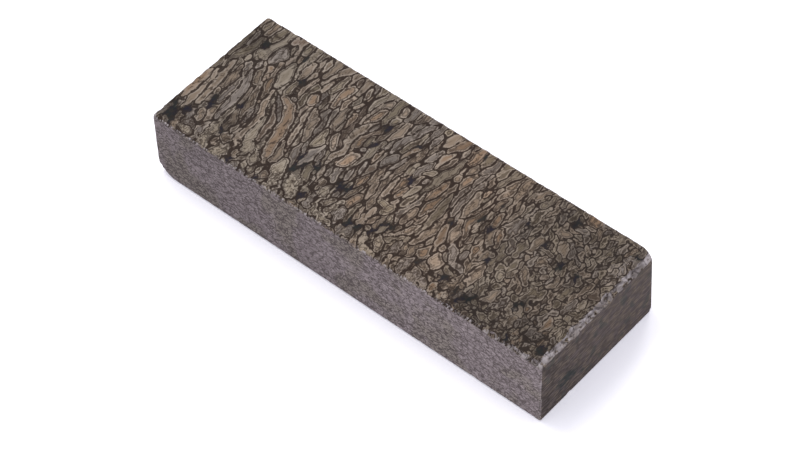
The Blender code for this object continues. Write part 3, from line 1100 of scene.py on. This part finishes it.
    def dress_faces(self, mesh: bpy.types.Mesh, sheet: TopSheet, pattern: CellPattern) -> None:
        """Write what the finish reads on the faces, the same all over a cell.

        Args:
            mesh: the skin.
            sheet: the top.
            pattern: the cells.
        """
        rng = np.random.default_rng(pattern.seed + 1)
        count = len(pattern.cells)
        tints = [TINTS[cell.tone] for cell in pattern.cells]
        shade = np.exp(np.clip(rng.normal(0.0, self.shade_spread, count), *self.shade_limits))
        middles = np.array([cell.spine[:, :2].mean(0) for cell in pattern.cells])
        left = smooth_step(20.0, 30.0, -middles[:, 0])
        front = smooth_step(10.0, 13.0, -middles[:, 1])
        filler_shade = self.filler_shade - self.filler_shade_change * left
        filler_shade = filler_shade + self.filler_shade_change * front
        placed = np.arange(count) < sum(len(rows) for rows in PLACED_CELLS.values())
        shade *= np.where(placed, self.placed_shade, filler_shade)
        width = np.zeros(count)
        for cell in pattern.cells:
            width[cell.group] = max(width[cell.group], self.least_width, cell.spine[:, 2].max())
        core_share = np.array([tint.core_share for tint in tints])
        rim = np.clip(rng.normal(0.7, 0.3, count), 0.0, 1.0)
        ring_odds = np.array([tint.ring_odds for tint in tints])
        has_ring = rng.random(count) < ring_odds
        ringed = np.where(has_ring, rng.uniform(0.6, 1.0, count), self.faint_ring)
        ring_depth = rng.uniform(*self.ring_depths, count)
        is_mottled = rng.random(count) < self.mottled_odds
        mottle = np.where(is_mottled, rng.uniform(0.4, 1.0, count), 0.0)
        tables = {
            "fill": np.array([tint.fill for tint in tints]) * shade[:, None],
            "core": np.array([tint.core for tint in tints]) * shade[:, None],
            "traits": np.stack([rim, ringed, mottle], -1),
            "build": np.stack([width, core_share, ring_depth], -1),
        }
        sides = mesh.polygons[:len(mesh.polygons) - len(sheet.faces)]
        side_cells = sheet.cell_at[[face.vertices[0] for face in sides]]
        group = pattern.groups[np.concatenate([side_cells, sheet.cells])]
        for name, table in tables.items():
            layer = mesh.attributes.new(name, "FLOAT_VECTOR", "FACE")
            layer.data.foreach_set("vector", table[group].ravel())


class Graph:
    """Adds shader nodes to a material and joins them."""

    def __init__(self, material: bpy.types.Material) -> None:
        """Start with the material's own nodes.

        Args:
            material: the material that gets the nodes.
        """
        material.use_nodes = True
        self.tree = material.node_tree
        self.shader = self.tree.nodes["Principled BSDF"]

    def put(self, socket: Socket, value: object) -> None:
        """Join a socket to another, or set its value.

        Args:
            socket: the socket that is fed.
            value: another socket, a number or a colour.
        """
        if isinstance(value, Socket):
            self.tree.links.new(value, socket)
        elif isinstance(value, tuple) and len(socket.default_value) == 4:
            socket.default_value = (*value, 1.0)
        else:
            socket.default_value = value

    def add(self, kind: str, inputs: dict[str | int, object], **settings: object) -> bpy.types.Node:
        """Add a node.

        Args:
            kind: what sort of shader node it is.
            inputs: what each of its sockets gets, by name or number.
            settings: the node's own settings.

        Returns:
            The node.
        """
        node = self.tree.nodes.new("ShaderNode" + kind)
        for name, value in settings.items():
            setattr(node, name, value)
        for key, value in inputs.items():
            self.put(node.inputs[key], value)
        return node

    def attribute(self, name: str) -> Socket:
        """Read a number that the mesh carries."""
        return self.add("Attribute", {}, attribute_name=name).outputs["Fac"]

    def vector(self, name: str) -> Socket:
        """Read a colour or a row of numbers that the mesh carries."""
        return self.add("Attribute", {}, attribute_name=name).outputs["Vector"]

    def math(self, operation: str, *values: object) -> Socket:
        """Do one sum."""
        return self.add("Math", dict(enumerate(values)), operation=operation).outputs[0]

    def chain(self, operation: str, *values: object) -> Socket:
        """Do the same sum along a row of values."""
        return reduce(lambda done, value: self.math(operation, done, value), values)

    def plus(self, *values: object) -> Socket:
        """Add values up."""
        return self.chain("ADD", *values)

    def times(self, *values: object) -> Socket:
        """Multiply values."""
        return self.chain("MULTIPLY", *values)

    def scaled(self, value: object, factor: float, shift: float = 0.0) -> Socket:
        """Multiply by a number and add another."""
        return self.math("MULTIPLY_ADD", value, factor, shift)

    def rise(self, value: object, low: float, high: float, to: float = 1.0) -> Socket:
        """Rise smoothly from 0 to a top value.

        Args:
            value: what is mapped.
            low: where the rise starts.
            high: where it ends.
            to: the top value.

        Returns:
            The mapped value.
        """
        inputs = {"Value": value, "From Min": low, "From Max": high, "To Max": to}
        node = self.add("MapRange", inputs, interpolation_type="SMOOTHSTEP")
        return node.outputs["Result"]

    def fall(self, value: object, low: float, high: float) -> Socket:
        """Fall smoothly from 1 to 0."""
        return self.scaled(self.rise(value, low, high), -1.0, 1.0)

    def mix(self, factor: object, a: object, b: object, how: str = "MIX") -> Socket:
        """Mix two colours.

        Args:
            factor: how much of the second.
            a: the first colour.
            b: the second colour.
            how: the way they blend.

        Returns:
            The mixed colour.
        """
        inputs = {0: factor, 6: a, 7: b}
        return self.add("Mix", inputs, data_type="RGBA", blend_type=how).outputs[2]

    def dimmed(self, colour: object, factor: object) -> Socket:
        """Multiply a colour by a number."""
        inputs = {0: colour, "Scale": factor}
        return self.add("VectorMath", inputs, operation="SCALE").outputs[0]

    def split(self, vector: object) -> tuple[Socket, ...]:
        """Take a vector apart."""
        return tuple(self.add("SeparateXYZ", {0: vector}).outputs)

    def place(self, stretch: Colour = EVEN) -> Socket:
        """Give the place on the object in millimetres, each axis scaled."""
        inputs = {0: self.add("TexCoord", {}).outputs["Object"], 1: tuple(s / MM for s in stretch)}
        return self.add("VectorMath", inputs, operation="MULTIPLY").outputs[0]

    def noise(
        self, size: float, detail: float = 1.0, distortion: float = 0.0, stretch: Colour = EVEN
    ) -> Socket:
        """Add noise of a given grain.

        Args:
            size: the grain in millimetres.
            detail: how many finer grains ride on it.
            distortion: how much it curls.
            stretch: scale of each axis.

        Returns:
            The noise, about 0 to 1.
        """
        inputs = {
            "Vector": self.place(stretch), "Scale": 1.0 / size, "Detail": detail,
            "Distortion": distortion,
        }
        return self.add("TexNoise", inputs).outputs["Fac"]

    def swing(self, size: float, detail: float = 1.0, stretch: Colour = EVEN) -> Socket:
        """Add noise that swings by about 1 to both sides of 0."""
        return self.scaled(self.noise(size, detail, 0.0, stretch), 3.6, -1.8)

    def threads(self, noise: Socket, low: float, high: float) -> Socket:
        """Give the thin threads along which a noise crosses its middle."""
        return self.fall(self.math("ABSOLUTE", self.scaled(noise, 2.0, -1.0)), low, high)

    def creases(self, size: float, stretch: Colour, wander: float) -> Socket:
        """Measure the distance to the creases between small grains.

        Args:
            size: the grains' size in millimetres.
            stretch: scale of each axis.
            wander: how far the creases stray, in grains.

        Returns:
            The distance, in grains.
        """
        inputs = {"Vector": self.place(stretch), "Scale": 0.8 / size, "Detail": 1.0}
        drift = self.add("TexNoise", inputs).outputs["Color"]
        inputs = {0: drift, 1: (4.0 * wander * size,) * 3, 2: self.place(stretch)}
        strayed = self.add("VectorMath", inputs, operation="MULTIPLY_ADD").outputs[0]
        inputs = {"Vector": strayed, "Scale": 1.0 / size}
        return self.add("TexVoronoi", inputs, feature="DISTANCE_TO_EDGE").outputs["Distance"]


@dataclass
class PolishedTop:
    """The look of the polished cells, painted layer over layer.

    Depths are measured inwards from a cell's outline, and all lengths are in
    millimetres. A pair of numbers says where a rise or a fall starts and where it ends.

    Args:
        graph: the material's nodes.
    """

    graph: Graph
    outline: Colour = (0.022, 0.013, 0.009)
    far_outline: Colour = (0.030, 0.020, 0.015)
    ring: Colour = (0.036, 0.024, 0.017)
    rim: Colour = (0.288, 0.237, 0.184)
    tissue_light: Colour = (0.080, 0.063, 0.049)
    tissue_dark: Colour = (0.036, 0.027, 0.021)
    pool_blue: Colour = (0.014, 0.013, 0.022)
    pool_green: Colour = (0.016, 0.019, 0.018)
    left_cast: Colour = (1.0, 1.03, 1.08)
    right_cast: Colour = (1.01, 0.995, 1.0)
    fine_size: float = 0.32
    middling_size: float = 0.9
    broad_size: float = 2.4
    grain_stretch: Colour = (1.0, 0.6, 1.0)
    vein_size: float = 1.5
    vein_stretch: Colour = (1.0, 0.30, 1.0)
    dash_size: float = 0.9
    dash_stretch: Colour = (1.0, 0.24, 1.0)
    far_part: Pair = (20.0, 36.0)
    left_part: Pair = (-50.0, -22.0)
    front_part: Pair = (-16.0, -10.0)
    warm_part: Pair = (-15.0, 15.0)
    wall_split: float = 0.15
    core_span: Pair = (0.30, 0.92)
    rim_starts: Pair = (0.08, 0.26)
    rim_ends: Pair = (0.36, 0.72)
    rim_cover: float = 0.9
    ring_span: Pair = (0.05, 0.27)
    ring_cover: float = 0.86
    vein_span: Pair = (0.02, 0.08)
    vein_cover: float = 0.82
    dash_span: Pair = (0.02, 0.10)
    dash_cover: float = 0.62
    speck_cover: float = 0.75
    murk_cover: float = 0.25
    tissue_span: Pair = (-0.12, -0.04)
    line_span: Pair = (0.09, 0.32)
    pool_cover: float = 0.88
    least_shade: float = 0.815
    shade_swing: float = 0.27
    far_loss: float = 0.19
    murk_loss: float = 0.40
    left_loss: float = 0.055

    def __post_init__(self) -> None:
        """Gather what the layers read, then paint them."""
        graph = self.graph
        self.x, self.y, _ = graph.split(graph.place())
        self.far = graph.rise(self.x, *self.far_part)
        self.left = graph.fall(self.x, *self.left_part)
        self.front = graph.fall(self.y, *self.front_part)
        self.fine = graph.swing(self.fine_size, 0.0, self.grain_stretch)
        self.middling = graph.swing(self.middling_size, 1.0, self.grain_stretch)
        self.broad = graph.swing(self.broad_size)
        self.clots = graph.plus(graph.scaled(self.fine, 0.5), self.middling)
        self.closed = graph.scaled(graph.rise(graph.noise(1.5), 0.62, 0.70), -0.70, 1.0)
        self.murk = graph.attribute("murk")
        self.rimmed, self.ringed, self.mottle = graph.split(graph.vector("traits"))
        self.width, self.core_share, self.ring_depth = graph.split(graph.vector("build"))
        self.outer = graph.attribute("depth")
        self.depth = self.parted_depth()
        self.wavy_depth = graph.plus(self.depth, graph.scaled(self.middling, 0.10))
        ragged = graph.plus(graph.scaled(self.fine, 0.25), graph.scaled(self.middling, 0.5))
        self.off_pool = graph.plus(graph.attribute("pool"), ragged)
        self.colour = self.fills()
        self.lay_rims()
        self.lay_rings()
        self.lay_streaks()
        self.lay_specks()
        self.lay_tissue()
        self.line = self.lay_outlines()
        self.lay_pools()
        self.shade()

    def lay(self, cover: object, colour: object) -> None:
        """Lay a colour over what is there."""
        self.colour = self.graph.mix(cover, self.colour, colour)

    def parted_depth(self) -> Socket:
        """Give the depth, less where the walls of wide cells part into double lines.

        Returns:
            The depth.
        """
        graph = self.graph
        parted = graph.times(
            graph.rise(graph.noise(2.8), 0.47, 0.555), graph.rise(self.width, 0.3, 0.8),
            graph.scaled(self.far, -0.5, 1.0),
        )
        split = graph.scaled(self.left, -0.6 * self.wall_split, -self.wall_split)
        return graph.plus(self.outer, graph.times(parted, split))

    def fills(self) -> Socket:
        """Fill the cells, darker towards their cores.

        Returns:
            The fills' colour.
        """
        graph = self.graph
        wander = graph.plus(graph.scaled(self.middling, 0.20), graph.scaled(self.fine, 0.05))
        inner = graph.plus(graph.math("DIVIDE", self.depth, self.width), wander)
        core = graph.times(graph.rise(inner, *self.core_span), self.core_share)
        return graph.mix(core, graph.vector("fill"), graph.vector("core"))

    def lay_rims(self) -> None:
        """Lay the pale rims along the insides of the outlines."""
        graph = self.graph
        inside = graph.rise(self.depth, *self.rim_starts)
        outside = graph.fall(self.wavy_depth, *self.rim_ends)
        pale = graph.times(inside, outside, self.rimmed, self.closed)
        self.lay(graph.scaled(pale, self.rim_cover), self.rim)

    def lay_rings(self) -> None:
        """Lay the dark rings inside the rims, broken here and there."""
        graph = self.graph
        off_ring = graph.math("ABSOLUTE", graph.math("SUBTRACT", self.wavy_depth, self.ring_depth))
        unbroken = graph.rise(self.broad, -0.9, -0.3)
        rings = graph.times(graph.fall(off_ring, *self.ring_span), self.ringed, unbroken)
        self.lay(graph.scaled(rings, self.ring_cover), self.ring)

    def lay_streaks(self) -> None:
        """Lay the dark veins and the short dashes that run along the grain."""
        graph = self.graph
        curled = graph.noise(self.vein_size, 0.6, 0.3, self.vein_stretch)
        shown = graph.rise(graph.noise(2.1), 0.40, 0.50)
        veins = graph.times(graph.threads(curled, *self.vein_span), shown)
        self.lay(graph.scaled(veins, self.vein_cover), self.ring)
        curled = graph.noise(self.dash_size, 0.5, 0.2, self.dash_stretch)
        shown = graph.rise(graph.noise(1.7), 0.46, 0.56)
        fewer = graph.scaled(self.left, -0.5, 1.0)
        dashes = graph.times(graph.threads(curled, *self.dash_span), shown, fewer)
        self.lay(graph.scaled(dashes, self.dash_cover), self.ring)

    def lay_specks(self) -> None:
        """Lay the dark specks of mottled cells and murky places, and dull those places."""
        graph = self.graph
        specks = graph.plus(
            self.fine, graph.scaled(self.middling, 0.8), graph.scaled(self.front, 0.22)
        )
        zone = graph.chain(
            "MAXIMUM", self.mottle, graph.rise(graph.noise(6.5), 0.55, 0.64),
            graph.scaled(self.front, 0.95), graph.rise(self.murk, 0.15, 0.6),
        )
        speckled = graph.times(graph.rise(specks, 0.2, 0.8), zone)
        self.lay(graph.scaled(speckled, self.speck_cover), self.ring)
        self.lay(graph.rise(self.murk, 0.25, 0.9, self.murk_cover), self.tissue_dark)

    def lay_tissue(self) -> None:
        """Lay the dark tissue between the outlines."""
        graph = self.graph
        tissue = graph.mix(graph.rise(self.clots, -0.8, 1.0), self.tissue_dark, self.tissue_light)
        tissue = graph.mix(graph.fall(self.outer, -0.25, -0.05), tissue, self.outline)
        self.colour = graph.mix(graph.fall(self.depth, *self.tissue_span), self.colour, tissue)

    def lay_outlines(self) -> Socket:
        """Lay the dark outlines, which swell here and there and towards the pools.

        Returns:
            Where the outlines run.
        """
        graph = self.graph
        swell = graph.plus(
            graph.math("MAXIMUM", graph.scaled(self.broad, 0.45, 1.0), 0.5),
            graph.scaled(graph.fall(self.off_pool, -0.3, 0.9), 1.5),
        )
        swell = graph.times(
            swell, graph.scaled(self.far, -0.22, 1.0), graph.scaled(self.front, 0.06, 1.0)
        )
        off_line = graph.math("ABSOLUTE", graph.plus(self.depth, graph.scaled(self.fine, 0.04)))
        line = graph.fall(graph.math("DIVIDE", off_line, swell), *self.line_span)
        line = graph.times(line, self.closed)
        outline = graph.mix(self.far, self.outline, self.far_outline)
        self.lay(graph.times(line, graph.scaled(self.left, -0.03, 0.97)), outline)
        return line

    def lay_pools(self) -> None:
        """Lay the dark pools, bluish or greenish, and deepest between the outlines."""
        graph = self.graph
        hollow = graph.times(
            graph.fall(self.off_pool, -0.5, 1.0), graph.fall(self.depth, 0.0, 0.60)
        )
        tinge = graph.mix(graph.rise(graph.noise(3.0), 0.42, 0.58), self.pool_blue, self.pool_green)
        tinge = graph.mix(graph.rise(self.clots, -0.2, 1.0, 0.8), tinge, self.tissue_dark)
        self.lay(graph.scaled(hollow, self.pool_cover), tinge)

    def shade(self) -> None:
        """Shade the top unevenly, cooler at the left and dimmer at the far right."""
        graph = self.graph
        shade = graph.plus(
            graph.scaled(graph.noise(6.0), self.shade_swing, self.least_shade),
            graph.scaled(self.far, -self.far_loss), graph.scaled(self.murk, -self.murk_loss),
            graph.scaled(self.left, -self.left_loss), graph.scaled(self.fine, 0.05),
        )
        warm = graph.times(graph.rise(self.x, *self.warm_part), graph.scaled(self.far, -0.4, 1.0))
        cast = graph.mix(warm, self.left_cast, self.right_cast)
        self.colour = graph.dimmed(graph.mix(1.0, self.colour, cast, "MULTIPLY"), shade)


@dataclass
class SawnSides:
    """The look of the sawn sides: a creased grain at the front and back, dark streaks at the ends.

    Args:
        graph: the material's nodes.
    """

    graph: Graph
    light: Colour = (0.270, 0.229, 0.233)
    dark: Colour = (0.216, 0.182, 0.187)
    crease: Colour = (0.066, 0.053, 0.051)
    olive: Colour = (0.212, 0.186, 0.152)
    end_light: Colour = (0.133, 0.105, 0.086)
    end_plum: Colour = (0.100, 0.080, 0.077)
    end_dark: Colour = (0.040, 0.032, 0.029)
    end_blue: Colour = (0.036, 0.044, 0.042)
    end_spot: Colour = (0.020, 0.027, 0.028)
    blotch_size: float = 1.1
    blotch_stretch: Colour = (0.6, 1.0, 1.0)
    coarse_size: float = 0.92
    coarse_stretch: Colour = (0.50, 1.0, 1.0)
    finer_size: float = 0.55
    finer_stretch: Colour = (0.60, 1.0, 1.0)
    streak_size: float = 0.60
    streak_stretch: Colour = (1.0, 0.13, 1.0)
    patchy_stretch: Colour = (1.0, 0.20, 1.0)
    spot_stretch: Colour = (1.0, 0.5, 1.0)
    crease_cover: float = 0.88
    olive_cover: float = 0.65
    blue_cover: float = 0.45
    spot_cover: float = 0.76
    spot_middle: Pair = (-11.2, 6.6)
    spot_radii: Pair = (4.0, 2.0)
    right_part: Pair = (40.0, 50.0)
    # Painted shade along the feet, next to the floor: how high it reaches, and how dark it is.
    foot_shade_part: Pair = (0.1, 0.6)
    foot_shade_cover: float = 0.28

    def __post_init__(self) -> None:
        """Colour the sides and the ends, and paint shade along their feet, next to the floor.

        The grain that is kept also makes the relief.
        """
        graph = self.graph
        self.x, self.y, self.z = graph.split(graph.place())
        side, side_grain = self.front_and_back()
        end, end_grain = self.ends()
        at_end = graph.attribute("end")
        self.grain = graph.mix(at_end, side_grain, end_grain)
        # Paint shade along the feet, where the sides meet the floor.
        foot_shade = graph.scaled(graph.fall(self.z, *self.foot_shade_part), self.foot_shade_cover)
        self.colour = graph.mix(foot_shade, graph.mix(at_end, side, end), self.end_dark)

    def front_and_back(self) -> tuple[Socket, Socket]:
        """Colour the front and the back.

        Returns:
            The colour and the grain.
        """
        graph = self.graph
        blotch = graph.noise(self.blotch_size, 1.0, 0.4, self.blotch_stretch)
        coarse = graph.creases(self.coarse_size, self.coarse_stretch, 0.45)
        finer = graph.creases(self.finer_size, self.finer_stretch, 0.30)
        skin = graph.times(graph.rise(coarse, 0.0, 0.18), graph.rise(finer, -0.08, 0.16))
        open_here = graph.rise(graph.noise(1.6), 0.32, 0.44)
        skin = graph.math("MAXIMUM", skin, graph.scaled(open_here, -0.7, 0.7))
        side = graph.mix(graph.rise(blotch, 0.36, 0.62), self.dark, self.light)
        creased = graph.scaled(skin, -self.crease_cover, self.crease_cover)
        side = graph.mix(creased, side, self.crease)
        low_down = graph.scaled(graph.fall(self.z, 2.0, 14.0), 0.08)
        patches = graph.rise(graph.plus(graph.noise(11.0, 2.0, 0.5), low_down), 0.50, 0.66)
        olive = graph.mix(skin, self.crease, self.olive)
        side = graph.mix(graph.scaled(patches, self.olive_cover), side, olive)
        side = graph.dimmed(side, graph.scaled(graph.rise(self.x, -62.0, 40.0), 0.25, 0.835))
        return side, graph.plus(graph.scaled(skin, 0.6), graph.scaled(blotch, 0.4))

    def ends(self) -> tuple[Socket, Socket]:
        """Colour the two ends.

        Returns:
            The colour and the grain.
        """
        graph = self.graph
        streaks = graph.creases(self.streak_size, self.streak_stretch, 0.22)
        patchy = graph.noise(0.8, 1.5, 0.2, self.patchy_stretch)
        grain = graph.times(graph.rise(streaks, 0.0, 0.24), graph.rise(patchy, 0.30, 0.52))
        end = graph.mix(graph.rise(graph.noise(1.6), 0.36, 0.64), self.end_plum, self.end_light)
        bold = graph.scaled(graph.rise(self.y, -20.0, 8.0), -0.34, 0.95)
        end = graph.mix(graph.times(graph.scaled(grain, -1.0, 1.0), bold), end, self.end_dark)
        blue = graph.rise(graph.noise(3.6, 1.0, 0.4), 0.60, 0.68)
        end = graph.mix(graph.scaled(blue, self.blue_cover), end, self.end_blue)
        end = graph.mix(graph.scaled(self.spot(), self.spot_cover), end, self.end_spot)
        return graph.dimmed(end, graph.scaled(graph.rise(self.y, -8.0, 20.0), -0.06, 1.0)), grain

    def spot(self) -> Socket:
        """Give the dark spot low on the right end.

        Returns:
            How much the spot covers.
        """
        graph = self.graph
        squares = []
        for place, middle, radius in zip((self.y, self.z), self.spot_middle, self.spot_radii):
            off = graph.scaled(place, 1.0 / radius, -middle / radius)
            squares.append(graph.times(off, off))
        ragged = graph.scaled(graph.noise(1.2, 1.5, 0.3, self.spot_stretch), 3.0, -1.5)
        off = graph.plus(graph.math("SQRT", graph.plus(*squares)), ragged)
        return graph.times(graph.fall(off, 0.3, 1.3), graph.rise(self.x, *self.right_part))


@dataclass(frozen=True)
class BoneFinish:
    """The whole finish: the polished top, the sawn sides, and broken edges over both, painted pale
    as a highlight.
    """

    # Pale colours of the painted highlight on the broken edges and the chamfer; the chips and their
    # relief are real.
    edge_highlight: Colour = (0.365, 0.331, 0.333)
    edge_highlight_dim: Colour = (0.205, 0.183, 0.184)
    rubble_size: float = 0.60
    rubble_stretch: Colour = (1.0, 0.36, 1.0)
    highlight_size: float = 2.6
    highlight_stretch: Colour = (1.0, 0.6, 1.0)
    highlight_top_part: Pair = (18.4, 19.5)
    crossed_cover: float = 0.4
    top_roughness: float = 0.42
    sawn_roughness: float = 0.75
    gloss: float = 0.06
    relief: float = 0.06 * MM
    top_relief: float = 0.05
    sawn_relief: float = 0.60

    def material(self) -> bpy.types.Material:
        """Make the material.

        Returns:
            The finished material.
        """
        material = bpy.data.materials.new("fossil_bone")
        graph = Graph(material)
        top, sides = PolishedTop(graph), SawnSides(graph)
        polished, broken = graph.attribute("polished"), graph.attribute("broken")
        rubble = graph.noise(self.rubble_size, 1.2, 0.4, self.rubble_stretch)
        colour = graph.mix(polished, sides.colour, top.colour)
        # Paint the highlight over the broken edges and the chamfer.
        colour = self.paint_edge_highlight(graph, colour, rubble, sides)
        crossed = graph.times(top.line, broken, polished)
        colour = graph.mix(graph.scaled(crossed, self.crossed_cover), colour, top.outline)
        graph.put(graph.shader.inputs["Base Color"], colour)
        graph.put(graph.shader.inputs["Specular IOR Level"], self.gloss)
        rough = graph.scaled(
            polished, self.top_roughness - self.sawn_roughness, self.sawn_roughness
        )
        scuffs = graph.scaled(graph.noise(1.3, 2.0), 0.12, -0.06)
        graph.put(graph.shader.inputs["Roughness"], graph.plus(rough, scuffs))
        strength = graph.scaled(polished, self.top_relief - self.sawn_relief, self.sawn_relief)
        height = graph.mix(broken, sides.grain, rubble)
        inputs = {"Strength": strength, "Distance": self.relief, "Height": height}
        graph.put(graph.shader.inputs["Normal"], graph.add("Bump", inputs).outputs["Normal"])
        return material

    def paint_edge_highlight(
        self, graph: Graph, colour: Socket, rubble: Socket, sides: SawnSides
    ) -> Socket:
        """Paint a highlight over the broken edges and the chamfer: pale colour that stands in for
        light glancing off them, with dark crumbs in it.

        Args:
            graph: the material's nodes.
            colour: the colour without the break.
            rubble: the noise of the break's crumbs.
            sides: the sawn sides, for their darkest colour and their height.

        Returns:
            The colour with the painted highlight.
        """
        broken = graph.attribute("broken")
        highlight_noise = graph.noise(self.highlight_size, 1.0, 0.3, self.highlight_stretch)
        highlight_noise = graph.plus(graph.scaled(highlight_noise, 0.62), graph.scaled(rubble, 0.38))
        # pale is the painted highlight's colour, with dark crumbs laid into it.
        pale = graph.mix(graph.rise(highlight_noise, 0.40, 0.62), self.edge_highlight_dim, self.edge_highlight)
        pale = graph.mix(graph.fall(rubble, 0.29, 0.38), pale, sides.end_dark)
        ragged = graph.times(
            graph.rise(graph.plus(broken, graph.scaled(rubble, 2.0, -1.0)), 0.10, 0.95),
            graph.rise(broken, 0.0, 0.15),
        )
        # The painted highlight is brightest towards the top of the chamfer.
        near_top = graph.rise(sides.z, *self.highlight_top_part)
        highlight_top = graph.times(graph.rise(highlight_noise, 0.34, 0.62, 0.55), near_top)
        return graph.mix(graph.times(ragged, graph.scaled(highlight_top, 1.0, 0.56)), colour, pale)


@dataclass
class BoneBlock:
    """The block: its pattern, its skin and its finish."""

    low: Vector
    high: Vector
    finish: BoneFinish = BoneFinish()

    def build(self) -> bpy.types.Object:
        """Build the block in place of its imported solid.

        Returns:
            The block's object.
        """
        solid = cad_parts[NODE]
        pattern = CellPattern(self.high.x / MM, (self.high.y - self.low.y) / 2.0 / MM)
        skin = BlockSkin(self.low, self.high).build(solid, pattern)
        skin.data.materials.append(self.finish.material())
        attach(skin, BODY)
        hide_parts(NODE)
        triangles = sum(len(face.vertices) - 2 for face in skin.data.polygons)
        log.info("%s: %d cells, %d triangles", skin.name, len(pattern.cells), triangles)
        return skin


@dataclass(frozen=True)
class Softbox:
    """A round soft light: where it shines from, how far off, how wide and how strong it is."""

    name: str
    shines_from: Colour
    distance: float
    size: float
    power: float
    colour: Colour = (1.0, 0.985, 0.96)

    def build(self) -> None:
        """Hang the light so that it faces the block."""
        data = bpy.data.lights.new(self.name, "AREA")
        data.shape = "DISK"
        data.size = self.size
        data.energy = self.power
        data.color = self.colour
        light = bpy.data.objects.new(self.name, data)
        away = Vector(self.shines_from).normalized()
        light.location = away * self.distance
        light.rotation_mode = "QUATERNION"
        light.rotation_quaternion = away.to_track_quat("Z", "Y")
        bpy.context.scene.collection.objects.link(light)


@dataclass(frozen=True)
class Studio:
    """A white floor under soft light."""

    floor_half_size: float = 1.5
    floor_colour: Colour = (0.96, 0.96, 0.96)
    floor_glow: Colour = (0.205, 0.203, 0.245)
    sky_colour: Colour = (0.98, 0.975, 1.04)
    world_strength: float = 0.93
    lights: tuple[Softbox, ...] = (
        Softbox("key", (-0.42, 0.07, 1.0), 0.9, 0.42, 2.6),
        Softbox("back", (-0.45, 1.0, 0.62), 1.2, 0.45, 4.2),
    )

    def build(self) -> None:
        """Build the floor, the sky and the lights."""
        self.floor()
        self.sky()
        for light in self.lights:
            light.build()

    def floor(self) -> None:
        """Lay the floor under the block."""
        half = self.floor_half_size
        mesh = bpy.data.meshes.new("floor")
        mesh.from_pydata(
            [(-half, -half, 0.0), (half, -half, 0.0), (half, half, 0.0), (-half, half, 0.0)],
            [], [(0, 1, 2, 3)],
        )
        floor = bpy.data.objects.new("floor", mesh)
        floor.location.z = -0.05 * MM
        material = bpy.data.materials.new("floor_white")
        graph = Graph(material)
        graph.put(graph.shader.inputs["Base Color"], self.floor_colour)
        graph.put(graph.shader.inputs["Roughness"], 0.9)
        graph.put(graph.shader.inputs["Specular IOR Level"], 0.1)
        graph.put(graph.shader.inputs["Emission Color"], self.floor_glow)
        graph.put(graph.shader.inputs["Emission Strength"], 1.0)
        mesh.materials.append(material)
        bpy.context.scene.collection.objects.link(floor)

    def sky(self) -> None:
        """Fill the room with even white light."""
        world = bpy.data.worlds.new("studio")
        world.use_nodes = True
        world.node_tree.nodes["Background"].inputs["Color"].default_value = (*self.sky_colour, 1.0)
        world.node_tree.nodes["Background"].inputs["Strength"].default_value = self.world_strength
        bpy.context.scene.world = world


@dataclass(frozen=True)
class PhotoCamera:
    """The camera at the photograph's place: angles in degrees, lengths in metres."""

    azimuth: float = 44.841
    elevation: float = 50.3485
    roll: float = -4.8868
    distance: float = 0.6818185
    shift_right: float = -0.0004315
    shift_up: float = 0.0026058
    shift_back: float = 0.00045
    lens: float = 129.013

    def build(self) -> None:
        """Set the camera up."""
        azimuth, elevation = math.radians(self.azimuth), math.radians(self.elevation)
        back = Vector((
            math.sin(azimuth) * math.cos(elevation), -math.cos(azimuth) * math.cos(elevation),
            math.sin(elevation),
        ))
        level = Vector((0.0, 0.0, 1.0)).cross(back).normalized()
        turn = Matrix.Rotation(math.radians(self.roll), 3, back)
        right, up = turn @ level, turn @ back.cross(level)
        place = right * self.shift_right + up * self.shift_up + back * self.distance
        place.y += self.shift_back
        data = bpy.data.cameras.new("camera")
        data.lens = self.lens
        data.clip_start = 0.01
        camera = bpy.data.objects.new("camera", data)
        camera.matrix_world = Matrix((
            (right.x, up.x, back.x, place.x), (right.y, up.y, back.y, place.y),
            (right.z, up.z, back.z, place.z), (0.0, 0.0, 0.0, 1.0),
        ))
        bpy.context.scene.collection.objects.link(camera)
        bpy.context.scene.camera = camera


def main() -> None:
    """Build the block, the studio and the camera."""
    logging.basicConfig(level=logging.INFO, format="%(name)s %(message)s")
    low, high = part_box(NODE)
    BoneBlock(low, high).build()
    Studio().build()
    PhotoCamera().build()
    bpy.context.scene.view_settings.view_transform = "Standard"
    bpy.context.view_layer.update()
    log.info("studio and camera ready")


if __name__ == "__main__":
    main()
